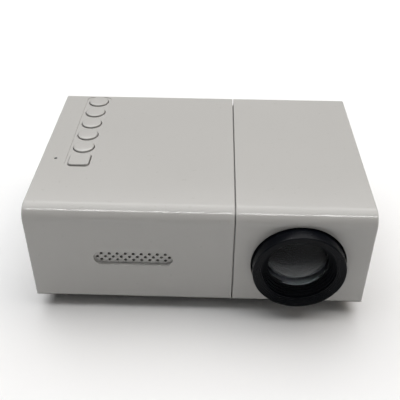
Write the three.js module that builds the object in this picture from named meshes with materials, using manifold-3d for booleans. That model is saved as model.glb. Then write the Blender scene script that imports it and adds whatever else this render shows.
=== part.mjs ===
// Compact LED home projector: a folded light path in a two-part plastic case, focused by turning
// its lens ring.
// Millimetres. +X is to the right seen from the lens side, +Y is towards the sockets at the rear, +Z is up.
// The origin is on the table, under the middle of the whole object with its lens ring at rest.

import * as THREE from 'three';
import { mergeVertices } from 'three/addons/utils/BufferGeometryUtils.js';
import Module from 'manifold-3d';

const wasm = await Module();
wasm.setup();

// ---- Driving dimensions: case ------------------------------------------------------------------

const CASE_WIDTH = 126;
const CASE_DEPTH = 86;
const CASE_TOP = 48; // top face above the table
const SKIRT_HEIGHT = 7; // lower edge of the covers above the table
const WALL = 2; // covers and end panels
const FRONT_EDGE_RADIUS = 5.5;
const REAR_EDGE_RADIUS = 1;
const GAP = 0.3; // between pieces that meet
const LENS_COVER_WIDTH = 50.15;
const SEAM_GAP = 0.4;
const TONGUE_REACH = 3.2; // of the control cover's tongue under the lens cover
const TONGUE_ROOT = 2.4;
const TONGUE_THICKNESS = 1.2;
const PANEL_INSET = 0.5; // end panels behind the covers' ends
const BASE_CLEARANCE = 2.5; // underside above the table
const BASE_FLOOR = 2;
const BASE_CHAMFER = 4.8; // how far the underside steps in all round
const LIP_TOP = 12;
const LIP_THICKNESS = 1.5;
const LIP_ROOT = 1; // lip's start below the rim

// Feet, case screws and tripod insert
const FOOT_RADIUS = 4.5;
const FOOT_RECESS = 0.7;
const FOOT_INSET = 17; // foot centre from both outer faces of the case
const SCREW_HEAD_RADIUS = 2.2;
const SCREW_HEAD_HEIGHT = 1.6;
const SCREW_SHANK_RADIUS = 1;
const SCREW_LENGTH = 14;
const SCREW_HEAD_SEAT = 1.9; // depth of the counterbore that holds the head
const BOSS_HEIGHT = 3.5;
const POST_RADIUS = 2.5;
const PILOT_DEPTH = 9;
const POST_FROM_SIDE = 7.6;
const POST_FROM_FRONT = 7.5;
const POST_FROM_REAR = 6.8;
const INSERT_BORE_RADIUS = 3.1; // quarter-inch tripod thread
const INSERT_BODY_RADIUS = 4.5;
const INSERT_FLANGE_RADIUS = 5.5;
const INSERT_FLANGE = 1;
const INSERT_HEIGHT = 7.3;
const INSERT_Y = -19;
const INSERT_FROM_BOX_STEP = 9;

// Keys and indicator
const KEY_FROM_LEFT = 15.3;
const KEY_FROM_REAR = 5.7;
const KEY_RADIUS = 4.05;
const KEY_SPACING = 1.44; // between neighbouring round keys
const KEY_PROUD = 0.5;
const KEY_CAP = 2.3;
const KEY_EDGE = 0.35; // bevel round a key's top
const KEY_STEM_RADIUS = 3;
const KEY_STEM = 1.6;
const KEY_TAB_OVERHANG = 0.9; // of a key's tabs beyond its cap
const KEY_TAB_HALF_WIDTH = 2;
const KEY_TRAVEL = 0.4;
const SQUARE_KEY_SIZE = 8;
const SQUARE_KEY_CORNER = 1.5;
const STRIP_BORDER = 1.35; // of the shallow panel that the keys stand on, beside a round key
const STRIP_DEPTH = 0.25;
const STRIP_CORNER = 2.5;
const STRIP_FRONT_MARGIN = 5.1; // beyond the centre of the square key
const STRIP_REAR_MARGIN = 1.5; // to the rear face of the case
const INDICATOR_FROM_LEFT = 5.8;
const INDICATOR_FROM_FRONT = 33.25;
const INDICATOR_RADIUS = 0.55;
const INDICATOR_COLLAR = 1.4;

// Front grille: a stadium recess with three rows of round holes
const GRILLE_FROM_LEFT = 38.8;
const GRILLE_Z = 26;
const GRILLE_WIDTH = 29.3;
const GRILLE_HEIGHT = 6;
const GRILLE_RECESS = 1.2;
const GRILLE_HOLE_RADIUS = 0.56;
const GRILLE_PITCH = 2.98;
const GRILLE_ROW_PITCH = 1.45;
const GRILLE_ROWS = [9, 10, 9];

// Lens ring and focus thread
const LENS_FROM_RIGHT = 26.2;
const LENS_Z = 25.3;
const LENS_PROJECTION = 5; // of the ring, at rest, beyond the front face
const BARREL_RADIUS = 17;
const BARREL_LENGTH = 28;
const BARREL_CLEARANCE = 0.3; // in the sleeve
const COVER_HOLE_CLEARANCE = 0.5;
const RIM_FUNNEL_WIDTH = 3;
const RIM_FUNNEL_DEPTH = 1.3;
const RIM_GROOVES = 5;
const RIM_LIP = 0.35;
const RING_EDGE = 0.4; // bevel at the ring's outer front edge
const BAFFLE_STEPS = 3;
const FRONT_LIP = 1.05; // reach of the lip over the front element
const FRONT_LIP_THICKNESS = 0.7;
const FRONT_SEAT_DEPTH = 6.1; // front glass below the ring's front face
const FOCUS_LEAD = 24; // travel for one full turn
const FOCUS_TURN_IN = THREE.MathUtils.degToRad(45);
const FOCUS_TURN_OUT = THREE.MathUtils.degToRad(75);
const GUIDE_PINS = 3;
const GUIDE_PIN_RADIUS = 1;
const GUIDE_PIN_REACH = 0.8; // into the barrel's grooves
const GUIDE_PIN_DEPTH = 14; // pins behind the ring's front face
const GROOVE_RADIUS = 1.9;
const SLEEVE_WALL = 2;
const SLEEVE_SETBACK = 1.6; // sleeve mouth behind the lens cover's wall
const FRICTION_RING_WIDTH = 2;
const FRICTION_RING_DEPTH = 24; // behind the ring's front face
const FRICTION_RING_SEAT = 1.4; // depth of its groove in the barrel
const FRICTION_KEY_WIDTH = 2;
const FRICTION_KEY_REACH = 1;

// Lens elements: each has a flat rim and seats on its own shoulder
const ELEMENT_COUNT = 3;
const ELEMENT_STEP = 0.9; // each element is this much larger in radius than the one before
const BARREL_SHELL = 4.7; // of the barrel outside the front element
const ELEMENT_LAND = 1.3; // flat rim round a curved face
const ELEMENT_RIM = 3;
const ELEMENT_PITCH = 7.3;
const ELEMENT_SAG = 1.8;
const RETAINER_THICKNESS = 1.6;
const RETAINER_WIDTH = 2.6;

// Light box, measured from the lens axis to the left, and across the light path
const PATH_FROM_REAR = 35;
const BOX_WALL = 1.6;
const BOX_HALF_HEIGHT = 16.6;
const WIDE_HALF = 22.6; // inside, at the picture panel
const NARROW_HALF = 15; // inside, at the lamp
const BOX_RIGHT = 21.2;
const BOX_STEP = 36.8;
const BOX_LEFT = 61.4;
const BOX_FLOOR = 1.6;
const SLOT_BITE = 0.8; // depth of the slots that hold the plates
const PLATE_BITE = 0.4;
const LID_THICKNESS = 1.3;
const MIRROR_LENGTH = 47;
const MIRROR_THICKNESS = 1.1;
const FIELD_LENS_AT = 22.7;
const LCD_AT = 27.4;
const COLLIMATOR_AT = 32.9;
const HEAT_GLASS_AT = 40.5;
const FRESNEL_THICKNESS = 1.8;
const LCD_THICKNESS = 2.4;
const HEAT_GLASS_THICKNESS = 1.5;
const CONDENSER_AT = 54.6;
const CONDENSER_RIM = 2.4;
const CONDENSER_SAG = 6;
const LAMP_PORT_RADIUS = 8;
const RIBBON_WIDTH = 20;
const RIBBON_THICKNESS = 0.3;

// Lamp and cooling
const LAMP_BOARD = 20;
const LAMP_BOARD_THICKNESS = 1.6;
const LAMP_DOME_RADIUS = 4;
const LAMP_DOME_HEIGHT = 2;
const HEATSINK_BASE = 3;
const HEATSINK_HALF = 15.6;
const HEATSINK_HEIGHT = 31;
const FIN_COUNT = 10;
const FIN_THICKNESS = 1;
const FAN_SIZE = 30;
const FAN_THICKNESS = 10;
const FAN_RIM = 0.8; // between the fan's bore and its flat sides
const FAN_BLADE_CLEARANCE = 0.5;
const FAN_HUB_RADIUS = 7;
const FAN_SHAFT_RADIUS = 1;
const FAN_BLADES = 7;
const FAN_SCREW_RADIUS = 1.6;
const FAN_SCREW_INSET = 3;
const FAN_LIFT = 2; // fan frame above the base plate's floor

// Boards, sockets and sound
const BOARD_DROP = 5.7; // board top below the cover's inner face
const BOARD_THICKNESS = 1.6;
const BOARD_EDGE = 1;
const SWITCH_SIZE = 6;
const SWITCH_HEIGHT = 2.8;
const SWITCH_PLUNGER_RADIUS = 1.6;
const KEY_SWITCH_PLAY = 0.1; // left under a key at the end of its travel
const CHIP_SIZE = 14;
const CHIP_THICKNESS = 1.2;
const HDMI_FROM_LEFT = 20.5; // socket middles from the case's left and front faces
const USB_FROM_LEFT = 36.5;
const CARD_FROM_LEFT = 52.5;
const AV_FROM_FRONT = 15.5;
const AUDIO_FROM_FRONT = 23.5;
const DC_FROM_FRONT = 31.6;
const IR_FROM_REAR = 15.5;
const SOCKET_NOSE_GAP = 0.35;
const SOCKET_RECESS = 0.4; // socket mouths behind the outer face
const SPEAKER_WIDTH = 30;
const SPEAKER_HEIGHT = 20;
const SPEAKER_FRAME = 3.4;
const SPEAKER_CONE_RADIUS = 8;
const SPEAKER_CONE_DEPTH = 2;
const SPEAKER_MAGNET_RADIUS = 8;
const SPEAKER_MAGNET = 3;
const CLOTH_THICKNESS = 0.4;
const CLOTH_MARGIN = 1.2;
const LEAD_RADIUS = 0.6;
const VENT_WIDTH = 1.8;
const VENT_PITCH = 3.4;
const INTAKE_ROWS = 8;
const INTAKE_HALF_LENGTH = 24;

const LENS_ROUND = 40; // sides of the lens ring and its sleeve
const ROUND = 24; // sides of large turned pieces
const SMALL_ROUND = 12;
const TINY_ROUND = 8;

// ---- Places worked out from the driving dimensions ----------------------------------------------

const LEFT = -CASE_WIDTH / 2;
const RIGHT = CASE_WIDTH / 2;
const FRONT = -CASE_DEPTH / 2;
const REAR = CASE_DEPTH / 2;
const SEAM_X = RIGHT - LENS_COVER_WIDTH;
const CEILING = CASE_TOP - WALL;
const BASE_RIM = SKIRT_HEIGHT - GAP;
const FLOOR_TOP = BASE_CLEARANCE + BASE_FLOOR;
const LIP_OUTER = WALL + GAP; // lip's outer face in from the case's outer faces, front and rear
const LIP_END_OUTER = PANEL_INSET + WALL + GAP; // the same at the two ends

const KEY_X = LEFT + KEY_FROM_LEFT;
const KEY_NAMES = ['power_key', 'source_key', 'menu_key', 'left_key', 'right_key', 'play_key'];
const KEY_PITCH = 2 * KEY_RADIUS + KEY_SPACING;
const STRIP_WIDTH = 2 * (KEY_RADIUS + STRIP_BORDER);
const keyY = (index) => REAR - KEY_FROM_REAR - index * KEY_PITCH;
const BOARD_TOP = CEILING - BOARD_DROP;
const BOARD_UNDER = BOARD_TOP - BOARD_THICKNESS;
const SOCKET_TOP = BOARD_UNDER - GAP;

const LENS_X = RIGHT - LENS_FROM_RIGHT;
const PATH_Y = REAR - PATH_FROM_REAR;
const FRONT_ELEMENT_RADIUS = BARREL_RADIUS - BARREL_SHELL;
const SLEEVE_BORE = BARREL_RADIUS + BARREL_CLEARANCE;
const SLEEVE_OUTER = SLEEVE_BORE + SLEEVE_WALL;
const TRAVEL_PER_RADIAN = FOCUS_LEAD / (2 * Math.PI);
const SLEEVE_FRONT = FRONT + WALL + SLEEVE_SETBACK;
const RING_FRONT = FRONT - LENS_PROJECTION;

const BOX_BOTTOM = LENS_Z - BOX_HALF_HEIGHT - BOX_FLOOR;
const BOX_INSIDE_BOTTOM = LENS_Z - BOX_HALF_HEIGHT;
const BOX_TOP = LENS_Z + BOX_HALF_HEIGHT;
const BOX_FRONT = PATH_Y - WIDE_HALF - BOX_WALL;
const BOX_LEFT_X = LENS_X - BOX_LEFT;
const BOX_STEP_X = LENS_X - BOX_STEP;
const BOX_RIGHT_X = LENS_X + BOX_RIGHT;
const MIRROR_BACK = MIRROR_THICKNESS + GAP; // box wall behind the reflecting face, square to it

const LAMP_FACE_X = BOX_LEFT_X - GAP - LAMP_DOME_HEIGHT / 4;
const HEATSINK_FACE_X = LAMP_FACE_X - LAMP_BOARD_THICKNESS - GAP;
const FAN_BORE_RADIUS = FAN_SIZE / 2 - FAN_RIM;
const FAN_Z = FLOOR_TOP + FAN_LIFT + FAN_SIZE / 2;
const FAN_LEFT_X = LEFT + PANEL_INSET + WALL + GAP;
const FAN_RIGHT_X = FAN_LEFT_X + FAN_THICKNESS;
const HEATSINK_LEFT_X = FAN_RIGHT_X + 2 * GAP;
const BOARD_RIGHT_X = BOX_LEFT_X - BOARD_EDGE;

const INSERT_X = BOX_STEP_X - INSERT_FROM_BOX_STEP;
const GRILLE_X = LEFT + GRILLE_FROM_LEFT;
const INDICATOR_X = LEFT + INDICATOR_FROM_LEFT;
const INDICATOR_Y = FRONT + INDICATOR_FROM_FRONT;

// Case screws: two hold the control cover, two the rear of the lens cover, whose front hooks on the tongue.
const CONTROL_POSTS = [
  [LEFT + POST_FROM_SIDE, FRONT + POST_FROM_FRONT],
  [LEFT + POST_FROM_SIDE, REAR - POST_FROM_REAR],
];
const LENS_POSTS = [
  [SEAM_X + SEAM_GAP / 2 + TONGUE_REACH + POST_RADIUS + 2 * GAP, REAR - POST_FROM_REAR],
  [RIGHT - POST_FROM_SIDE, REAR - POST_FROM_REAR],
];
const POSTS = [...CONTROL_POSTS, ...LENS_POSTS];
const FOOT_PLACES = {
  front_left_foot: [LEFT + FOOT_INSET, FRONT + FOOT_INSET],
  front_right_foot: [RIGHT - FOOT_INSET, FRONT + FOOT_INSET],
  rear_left_foot: [LEFT + FOOT_INSET, REAR - FOOT_INSET],
  rear_right_foot: [RIGHT - FOOT_INSET, REAR - FOOT_INSET],
};

// Rear sockets hang from the board and look out through the rear wall.
const REAR_SOCKETS = {
  hdmi_socket: { x: LEFT + HDMI_FROM_LEFT, width: 15, height: 5.6, depth: 11.5, shell: 0.5, tongue: 1.6 },
  usb_socket: { x: LEFT + USB_FROM_LEFT, width: 13.2, height: 5.8, depth: 13.5, shell: 0.5, tongue: 1.9 },
  card_slot: { x: LEFT + CARD_FROM_LEFT, width: 14, height: 2, depth: 14, shell: 0.4, tongue: 0 },
};
// Round sockets look out through the left end panel.
const SIDE_SOCKETS = {
  av_socket: { y: FRONT + AV_FROM_FRONT, nose: 2.8, bore: 1.8, pin: 0 },
  audio_socket: { y: FRONT + AUDIO_FROM_FRONT, nose: 2.8, bore: 1.8, pin: 0 },
  dc_inlet: { y: FRONT + DC_FROM_FRONT, nose: 3.2, bore: 2.4, pin: 0.6 },
};
const SIDE_SOCKET_LENGTH = 11;
const IR_Y = REAR - IR_FROM_REAR;
const IR_RADIUS = 2.2;
const IR_HEIGHT = 6;
const SIDE_SOCKET_WALL = 0.5; // body round the nose

// ---- Solids --------------------------------------------------------------------------------------

function solidOf(geometry) {
  geometry.deleteAttribute('normal');
  geometry.deleteAttribute('uv');
  const merged = mergeVertices(geometry);
  const corners = merged.index.array;
  const kept = [];
  for (let i = 0; i < corners.length; i += 3) {
    const [a, b, c] = corners.slice(i, i + 3);
    if (a !== b && b !== c && c !== a) kept.push(a, b, c);
  }
  return new wasm.Manifold(new wasm.Mesh({
    numProp: 3,
    vertProperties: new Float32Array(merged.attributes.position.array),
    triVerts: new Uint32Array(kept),
  }));
}

function geometryOf(solid) {
  const { vertProperties, triVerts } = solid.getMesh();
  const geometry = new THREE.BufferGeometry();
  geometry.setAttribute('position', new THREE.BufferAttribute(vertProperties, 3));
  geometry.setIndex(new THREE.BufferAttribute(triVerts, 1));
  geometry.computeVertexNormals();
  return geometry;
}

const joined = (solids) => solids.reduce((whole, piece) => whole.add(piece));
const cutBy = (solid, cutters) => cutters.reduce((rest, cutter) => rest.subtract(cutter), solid);

// A box between two limits on each axis.
function box([x0, x1], [y0, y1], [z0, z1]) {
  const geometry = new THREE.BoxGeometry(x1 - x0, y1 - y0, z1 - z0);
  geometry.translate((x0 + x1) / 2, (y0 + y1) / 2, (z0 + z1) / 2);
  return solidOf(geometry);
}

const around = (centre, half) => [centre - half, centre + half];

// A round rod along one axis, from one limit to the other, centred at `at` on the other two axes.
function rod(axis, radius, [from, to], at, sides = SMALL_ROUND) {
  const geometry = new THREE.CylinderGeometry(radius, radius, to - from, sides);
  const middle = (from + to) / 2;
  if (axis === 'x') geometry.rotateZ(-Math.PI / 2).translate(middle, at[0], at[1]);
  if (axis === 'y') geometry.translate(at[0], middle, at[1]);
  if (axis === 'z') geometry.rotateX(Math.PI / 2).translate(at[0], at[1], middle);
  return solidOf(geometry);
}

// A turned piece about the Y axis from [radius, y] points round its section.
function turned(section, sides = ROUND) {
  const points = section.map(([radius, y]) => new THREE.Vector2(radius, y));
  if (THREE.ShapeUtils.isClockWise(points)) points.reverse();
  return solidOf(new THREE.LatheGeometry([...points, points[0].clone()], sides));
}

function polygon(points) {
  return new THREE.Shape(points.map(([u, v]) => new THREE.Vector2(u, v)));
}

function roundedRectangle([u0, u1], [v0, v1], radius) {
  const shape = new THREE.Shape();
  shape.absarc(u1 - radius, v0 + radius, radius, -Math.PI / 2, 0);
  shape.absarc(u1 - radius, v1 - radius, radius, 0, Math.PI / 2);
  shape.absarc(u0 + radius, v1 - radius, radius, Math.PI / 2, Math.PI);
  shape.absarc(u0 + radius, v0 + radius, radius, Math.PI, 1.5 * Math.PI);
  return shape;
}

const stadium = (u, v) => roundedRectangle(u, v, Math.min(u[1] - u[0], v[1] - v[0]) / 2);

// A prism along one axis; the outline is drawn in the other two, in X, Y, Z order.
function prism(axis, shape, [from, to], curveSegments = 6) {
  const geometry = new THREE.ExtrudeGeometry(shape, { depth: to - from, bevelEnabled: false, curveSegments });
  if (axis === 'x') {
    const turn = new THREE.Matrix4().makeBasis(
      new THREE.Vector3(0, 1, 0), new THREE.Vector3(0, 0, 1), new THREE.Vector3(1, 0, 0));
    geometry.applyMatrix4(turn).translate(from, 0, 0);
  }
  if (axis === 'y') geometry.rotateX(Math.PI / 2).translate(0, to, 0);
  if (axis === 'z') geometry.translate(0, 0, from);
  return solidOf(geometry);
}

// A round lead along a smooth curve through its points.
function lead(points, steps = 14) {
  const path = new THREE.CatmullRomCurve3(points.map((point) => new THREE.Vector3(...point)));
  const section = new THREE.Shape().absarc(0, 0, LEAD_RADIUS, 0, 2 * Math.PI);
  const geometry = new THREE.ExtrudeGeometry(section, { steps, curveSegments: 4, extrudePath: path });
  return solidOf(geometry);
}

// ---- Case ----------------------------------------------------------------------------------------

// The space inside the covers' section: front wall, rounded front edge, top and rear wall, set in by `inset`.
function wrap(x, inset, bottom) {
  const front = FRONT + inset;
  const rear = REAR - inset;
  const top = CASE_TOP - inset;
  const frontRadius = Math.max(FRONT_EDGE_RADIUS - inset, GAP);
  const rearRadius = Math.max(REAR_EDGE_RADIUS - inset, GAP);
  const section = new THREE.Shape();
  section.moveTo(front, bottom);
  section.lineTo(front, top - frontRadius);
  section.absarc(front + frontRadius, top - frontRadius, frontRadius, Math.PI, Math.PI / 2, true);
  section.absarc(rear - rearRadius, top - rearRadius, rearRadius, Math.PI / 2, 0, true);
  section.lineTo(rear, bottom);
  return prism('x', section, x);
}

const bandOf = (x, inset, thickness, bottom) =>
  wrap(x, inset, bottom).subtract(wrap([x[0] - 1, x[1] + 1], inset + thickness, bottom - 1));

// A screw post that hangs from the top, with a blind pilot hole from below.
function post([x, y]) {
  const foot = FLOOR_TOP + BOSS_HEIGHT + GAP;
  const body = rod('z', POST_RADIUS, [foot, CEILING + WALL / 2], [x, y]);
  const pilot = rod('z', SCREW_SHANK_RADIUS + GAP, [foot - 1, foot + PILOT_DEPTH], [x, y], TINY_ROUND);
  return body.subtract(pilot);
}

function keyHole(index) {
  const y = keyY(index);
  const through = [CEILING - 1, CASE_TOP + 1];
  if (index < KEY_NAMES.length - 1) return rod('z', KEY_RADIUS + GAP, through, [KEY_X, y]);
  const half = SQUARE_KEY_SIZE / 2 + GAP;
  return prism('z', roundedRectangle(around(KEY_X, half), around(y, half), SQUARE_KEY_CORNER + GAP), through);
}

function grilleHoles() {
  const centreRow = (GRILLE_ROWS.length - 1) / 2;
  return GRILLE_ROWS.flatMap((count, row) => Array.from({ length: count }, (_, i) => rod(
    'y', GRILLE_HOLE_RADIUS, [FRONT - 1, FRONT + WALL + 1],
    [GRILLE_X + (i - (count - 1) / 2) * GRILLE_PITCH, GRILLE_Z - (row - centreRow) * GRILLE_ROW_PITCH],
    TINY_ROUND)));
}

function rearSocketHole({ x, width, height }) {
  const half = width / 2 + SOCKET_NOSE_GAP;
  const z = SOCKET_TOP - height / 2;
  return box(around(x, half), [REAR - WALL - 1, REAR + 1], around(z, height / 2 + SOCKET_NOSE_GAP));
}

function keyStrip() {
  const lastKey = keyY(KEY_NAMES.length - 1);
  const outline = roundedRectangle(
    around(KEY_X, STRIP_WIDTH / 2), [lastKey - STRIP_FRONT_MARGIN, REAR - STRIP_REAR_MARGIN], STRIP_CORNER);
  return prism('z', outline, [CASE_TOP - STRIP_DEPTH, CASE_TOP + 1]);
}

function controlCover() {
  const edge = SEAM_X - SEAM_GAP / 2;
  const tongueInset = WALL + GAP;
  const cover = joined([
    bandOf([LEFT, edge], 0, WALL, SKIRT_HEIGHT),
    bandOf([edge - TONGUE_ROOT, edge], WALL / 2, tongueInset + TONGUE_THICKNESS - WALL / 2, LIP_TOP + GAP),
    bandOf([edge - TONGUE_ROOT, edge + TONGUE_REACH], tongueInset, TONGUE_THICKNESS, LIP_TOP + GAP),
    ...CONTROL_POSTS.map(post),
  ]);
  const recess = prism('y', stadium(around(GRILLE_X, GRILLE_WIDTH / 2), around(GRILLE_Z, GRILLE_HEIGHT / 2)),
    [FRONT - 1, FRONT + GRILLE_RECESS]);
  return cutBy(cover, [
    keyStrip(),
    recess,
    joined(grilleHoles()),
    joined(KEY_NAMES.map((_, index) => keyHole(index))),
    rod('z', INDICATOR_RADIUS + GAP, [CEILING - 1, CASE_TOP + 1], [INDICATOR_X, INDICATOR_Y], TINY_ROUND),
    joined(Object.values(REAR_SOCKETS).map(rearSocketHole)),
  ]);
}

function lensCover() {
  const cover = joined([
    bandOf([SEAM_X + SEAM_GAP / 2, RIGHT], 0, WALL, SKIRT_HEIGHT),
    ...LENS_POSTS.map(post),
  ]);
  return cover.subtract(rod('y', BARREL_RADIUS + COVER_HOLE_CLEARANCE, [FRONT - 1, FRONT + WALL + 1],
    [LENS_X, LENS_Z], LENS_ROUND));
}

const endPanel = (x) => wrap(x, WALL + GAP, SKIRT_HEIGHT);

// Upright slots inside a circle, as long as the circle allows.
function roundVent(x, y, z, radius) {
  const count = 2 * Math.floor(radius / VENT_PITCH) + 1;
  return joined(Array.from({ length: count }, (_, i) => {
    const offset = (i - (count - 1) / 2) * VENT_PITCH;
    const half = Math.sqrt(radius ** 2 - offset ** 2);
    const slot = stadium(around(y + offset, VENT_WIDTH / 2), around(z, Math.max(half, VENT_WIDTH)));
    return prism('x', slot, x, 3);
  }));
}

function sideSocketZ({ nose }) {
  return SOCKET_TOP - nose - SIDE_SOCKET_WALL;
}

function leftEndPanel() {
  const x = [LEFT + PANEL_INSET, LEFT + PANEL_INSET + WALL];
  const through = [x[0] - 1, x[1] + 1];
  return cutBy(endPanel(x), [
    roundVent(through, PATH_Y, FAN_Z, FAN_BORE_RADIUS - GAP),
    ...Object.values(SIDE_SOCKETS).map((socket) =>
      rod('x', socket.nose + SOCKET_NOSE_GAP, through, [socket.y, sideSocketZ(socket)])),
    rod('x', IR_RADIUS + GAP, through, [IR_Y, SOCKET_TOP - IR_HEIGHT / 2]),
  ]);
}

function rightEndPanel() {
  const x = [RIGHT - PANEL_INSET - WALL, RIGHT - PANEL_INSET];
  const slots = Array.from({ length: INTAKE_ROWS }, (_, i) => {
    const z = LENS_Z + (i - (INTAKE_ROWS - 1) / 2) * VENT_PITCH;
    const slot = stadium(around(0, INTAKE_HALF_LENGTH), around(z, VENT_WIDTH / 2));
    return prism('x', slot, [x[0] - 1, x[1] + 1], 3);
  });
  return cutBy(endPanel(x), slots);
}

// Tray with a chamfered underside and a lip that stands inside the covers and end panels,
// notched where the lens sleeve and the fan stand.
function basePlate() {
  const outline = polygon([[LEFT, FRONT], [RIGHT, FRONT], [RIGHT, REAR], [LEFT, REAR]]);
  const height = BASE_RIM - BASE_CLEARANCE;
  const bevelled = new THREE.ExtrudeGeometry(outline, {
    depth: 1, bevelThickness: height, bevelSize: BASE_CHAMFER, bevelOffset: -BASE_CHAMFER, bevelSegments: 1,
  }).translate(0, 0, BASE_RIM);
  const rim = box([LEFT, RIGHT], [FRONT, REAR], [BASE_CLEARANCE, BASE_RIM]).intersect(solidOf(bevelled));
  const lipX = [LEFT + LIP_END_OUTER, RIGHT - LIP_END_OUTER];
  const lipY = [FRONT + LIP_OUTER, REAR - LIP_OUTER];
  const lip = box(lipX, lipY, [BASE_RIM - LIP_ROOT, LIP_TOP]);
  const pocket = box([lipX[0] + LIP_THICKNESS, lipX[1] - LIP_THICKNESS],
    [lipY[0] + LIP_THICKNESS, lipY[1] - LIP_THICKNESS], [FLOOR_TOP, LIP_TOP + 1]);
  const insertTop = BASE_CLEARANCE + INSERT_HEIGHT;
  const tray = rim.add(lip).subtract(pocket);
  const bosses = [
    ...POSTS.map((at) => (
      rod('z', POST_RADIUS + GAP, [FLOOR_TOP - BASE_FLOOR / 2, FLOOR_TOP + BOSS_HEIGHT], at)
    )),
    rod('z', INSERT_BODY_RADIUS + GAP + WALL, [FLOOR_TOP - BASE_FLOOR / 2, insertTop], [INSERT_X, INSERT_Y]),
  ];
  const under = BASE_CLEARANCE - 1;
  return cutBy(joined([tray, ...bosses]), [
    ...POSTS.map((at) => rod('z', SCREW_SHANK_RADIUS + GAP, [under, LIP_TOP], at, TINY_ROUND)),
    ...POSTS.map((at) => rod('z', SCREW_HEAD_RADIUS + GAP, [under, BASE_CLEARANCE + SCREW_HEAD_SEAT], at)),
    ...Object.values(FOOT_PLACES).map((at) =>
      rod('z', FOOT_RADIUS + GAP, [under, BASE_CLEARANCE + FOOT_RECESS], at)),
    rod('z', INSERT_BODY_RADIUS + GAP, [under, insertTop + 1], [INSERT_X, INSERT_Y]),
    rod('z', INSERT_FLANGE_RADIUS + GAP, [under, BASE_CLEARANCE + INSERT_FLANGE + GAP], [INSERT_X, INSERT_Y]),
    baseVents(),
    rod('y', SLEEVE_OUTER + GAP, [FRONT + WALL, PATH_Y], [LENS_X, LENS_Z], LENS_ROUND),
    box([FAN_LEFT_X - 1, FAN_RIGHT_X], around(PATH_Y, FAN_SIZE / 2 + GAP),
      [FAN_Z - FAN_SIZE / 2 - GAP, LIP_TOP + 1]),
  ]);
}

// Intake slots under the heatsink.
function baseVents() {
  const count = 7;
  const half = 10;
  const middle = (HEATSINK_LEFT_X + HEATSINK_FACE_X) / 2;
  return joined(Array.from({ length: count }, (_, i) => {
    const y = PATH_Y + (i - (count - 1) / 2) * VENT_PITCH;
    const outline = stadium(around(middle, half), around(y, VENT_WIDTH / 2));
    return prism('z', outline, [BASE_CLEARANCE - 1, FLOOR_TOP + 1], 3);
  }));
}

// Rubber foot with a rounded lower edge, standing on z = 0 and turned about its own axis.
function foot() {
  const top = BASE_CLEARANCE + FOOT_RECESS - GAP;
  const edge = 0.6;
  const section = [[0, 0], [FOOT_RADIUS - edge, 0], [FOOT_RADIUS, edge], [FOOT_RADIUS, top], [0, top]];
  return upright(turned(section));
}

// Stands a piece that was turned about Y on its end, its axis upright.
const upright = (solid) => solid.rotate([90, 0, 0]);

function caseScrew() {
  const crossHalf = 0.4;
  const screw = joined([
    rod('z', SCREW_HEAD_RADIUS, [0, SCREW_HEAD_HEIGHT], [0, 0]),
    rod('z', SCREW_SHANK_RADIUS, [SCREW_HEAD_HEIGHT / 2, SCREW_LENGTH], [0, 0], TINY_ROUND),
  ]);
  const reach = SCREW_HEAD_RADIUS * 0.6;
  const depth = [-1, SCREW_HEAD_HEIGHT / 2];
  return cutBy(screw, [
    box(around(0, reach), around(0, crossHalf), depth),
    box(around(0, crossHalf), around(0, reach), depth),
  ]);
}

function tripodInsert() {
  const body = rod('z', INSERT_BODY_RADIUS, [0, INSERT_HEIGHT], [0, 0]);
  const flange = rod('z', INSERT_FLANGE_RADIUS, [0, INSERT_FLANGE], [0, 0]);
  return body.add(flange).subtract(rod('z', INSERT_BORE_RADIUS, [-1, INSERT_HEIGHT + 1], [0, 0]));
}

// ---- Keys ----------------------------------------------------------------------------------------

// z = 0 is the key's top; two side tabs under the cover keep it in.
function squareCap() {
  const side = around(0, SQUARE_KEY_SIZE / 2);
  return prism('z', roundedRectangle(side, side, SQUARE_KEY_CORNER), [-KEY_CAP, 0]);
}

function roundCap() {
  return upright(turned([
    [0, -KEY_CAP],
    [KEY_RADIUS, -KEY_CAP],
    [KEY_RADIUS, -KEY_EDGE],
    [KEY_RADIUS - KEY_EDGE, 0],
    [0, 0],
  ]));
}

function key(square) {
  const cap = square ? squareCap() : roundCap();
  const tabTop = -KEY_PROUD - WALL - GAP;
  const bottom = -KEY_CAP - KEY_STEM;
  return joined([
    cap,
    rod('z', KEY_STEM_RADIUS, [bottom, -KEY_CAP / 2], [0, 0]),
    box(around(0, KEY_RADIUS + KEY_TAB_OVERHANG), around(0, KEY_TAB_HALF_WIDTH), [bottom, tabTop]),
  ]);
}

// Push switch under a key; z = 0 is its underside.
function keySwitch() {
  const keyBottom = CASE_TOP + KEY_PROUD - KEY_CAP - KEY_STEM;
  const plungerTop = keyBottom - KEY_TRAVEL - KEY_SWITCH_PLAY - BOARD_TOP - GAP;
  return box(around(0, SWITCH_SIZE / 2), around(0, SWITCH_SIZE / 2), [0, SWITCH_HEIGHT])
    .add(rod('z', SWITCH_PLUNGER_RADIUS, [SWITCH_HEIGHT / 2, plungerTop], [0, 0]));
}

function indicatorLens() {
  const bottom = BOARD_TOP + GAP + 1;
  const collar = [CEILING - GAP - 1.5, CEILING - GAP];
  return rod('z', INDICATOR_RADIUS, [bottom, CASE_TOP], [0, 0], TINY_ROUND)
    .add(rod('z', INDICATOR_COLLAR, collar, [0, 0], TINY_ROUND));
}

// ---- Lens and focus thread: y = 0 is the ring's front face, the axis is Y ------------------------

const elementRadius = (index) => FRONT_ELEMENT_RADIUS + index * ELEMENT_STEP;
const elementDepth = (index) => FRONT_SEAT_DEPTH + index * ELEMENT_PITCH;

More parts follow.
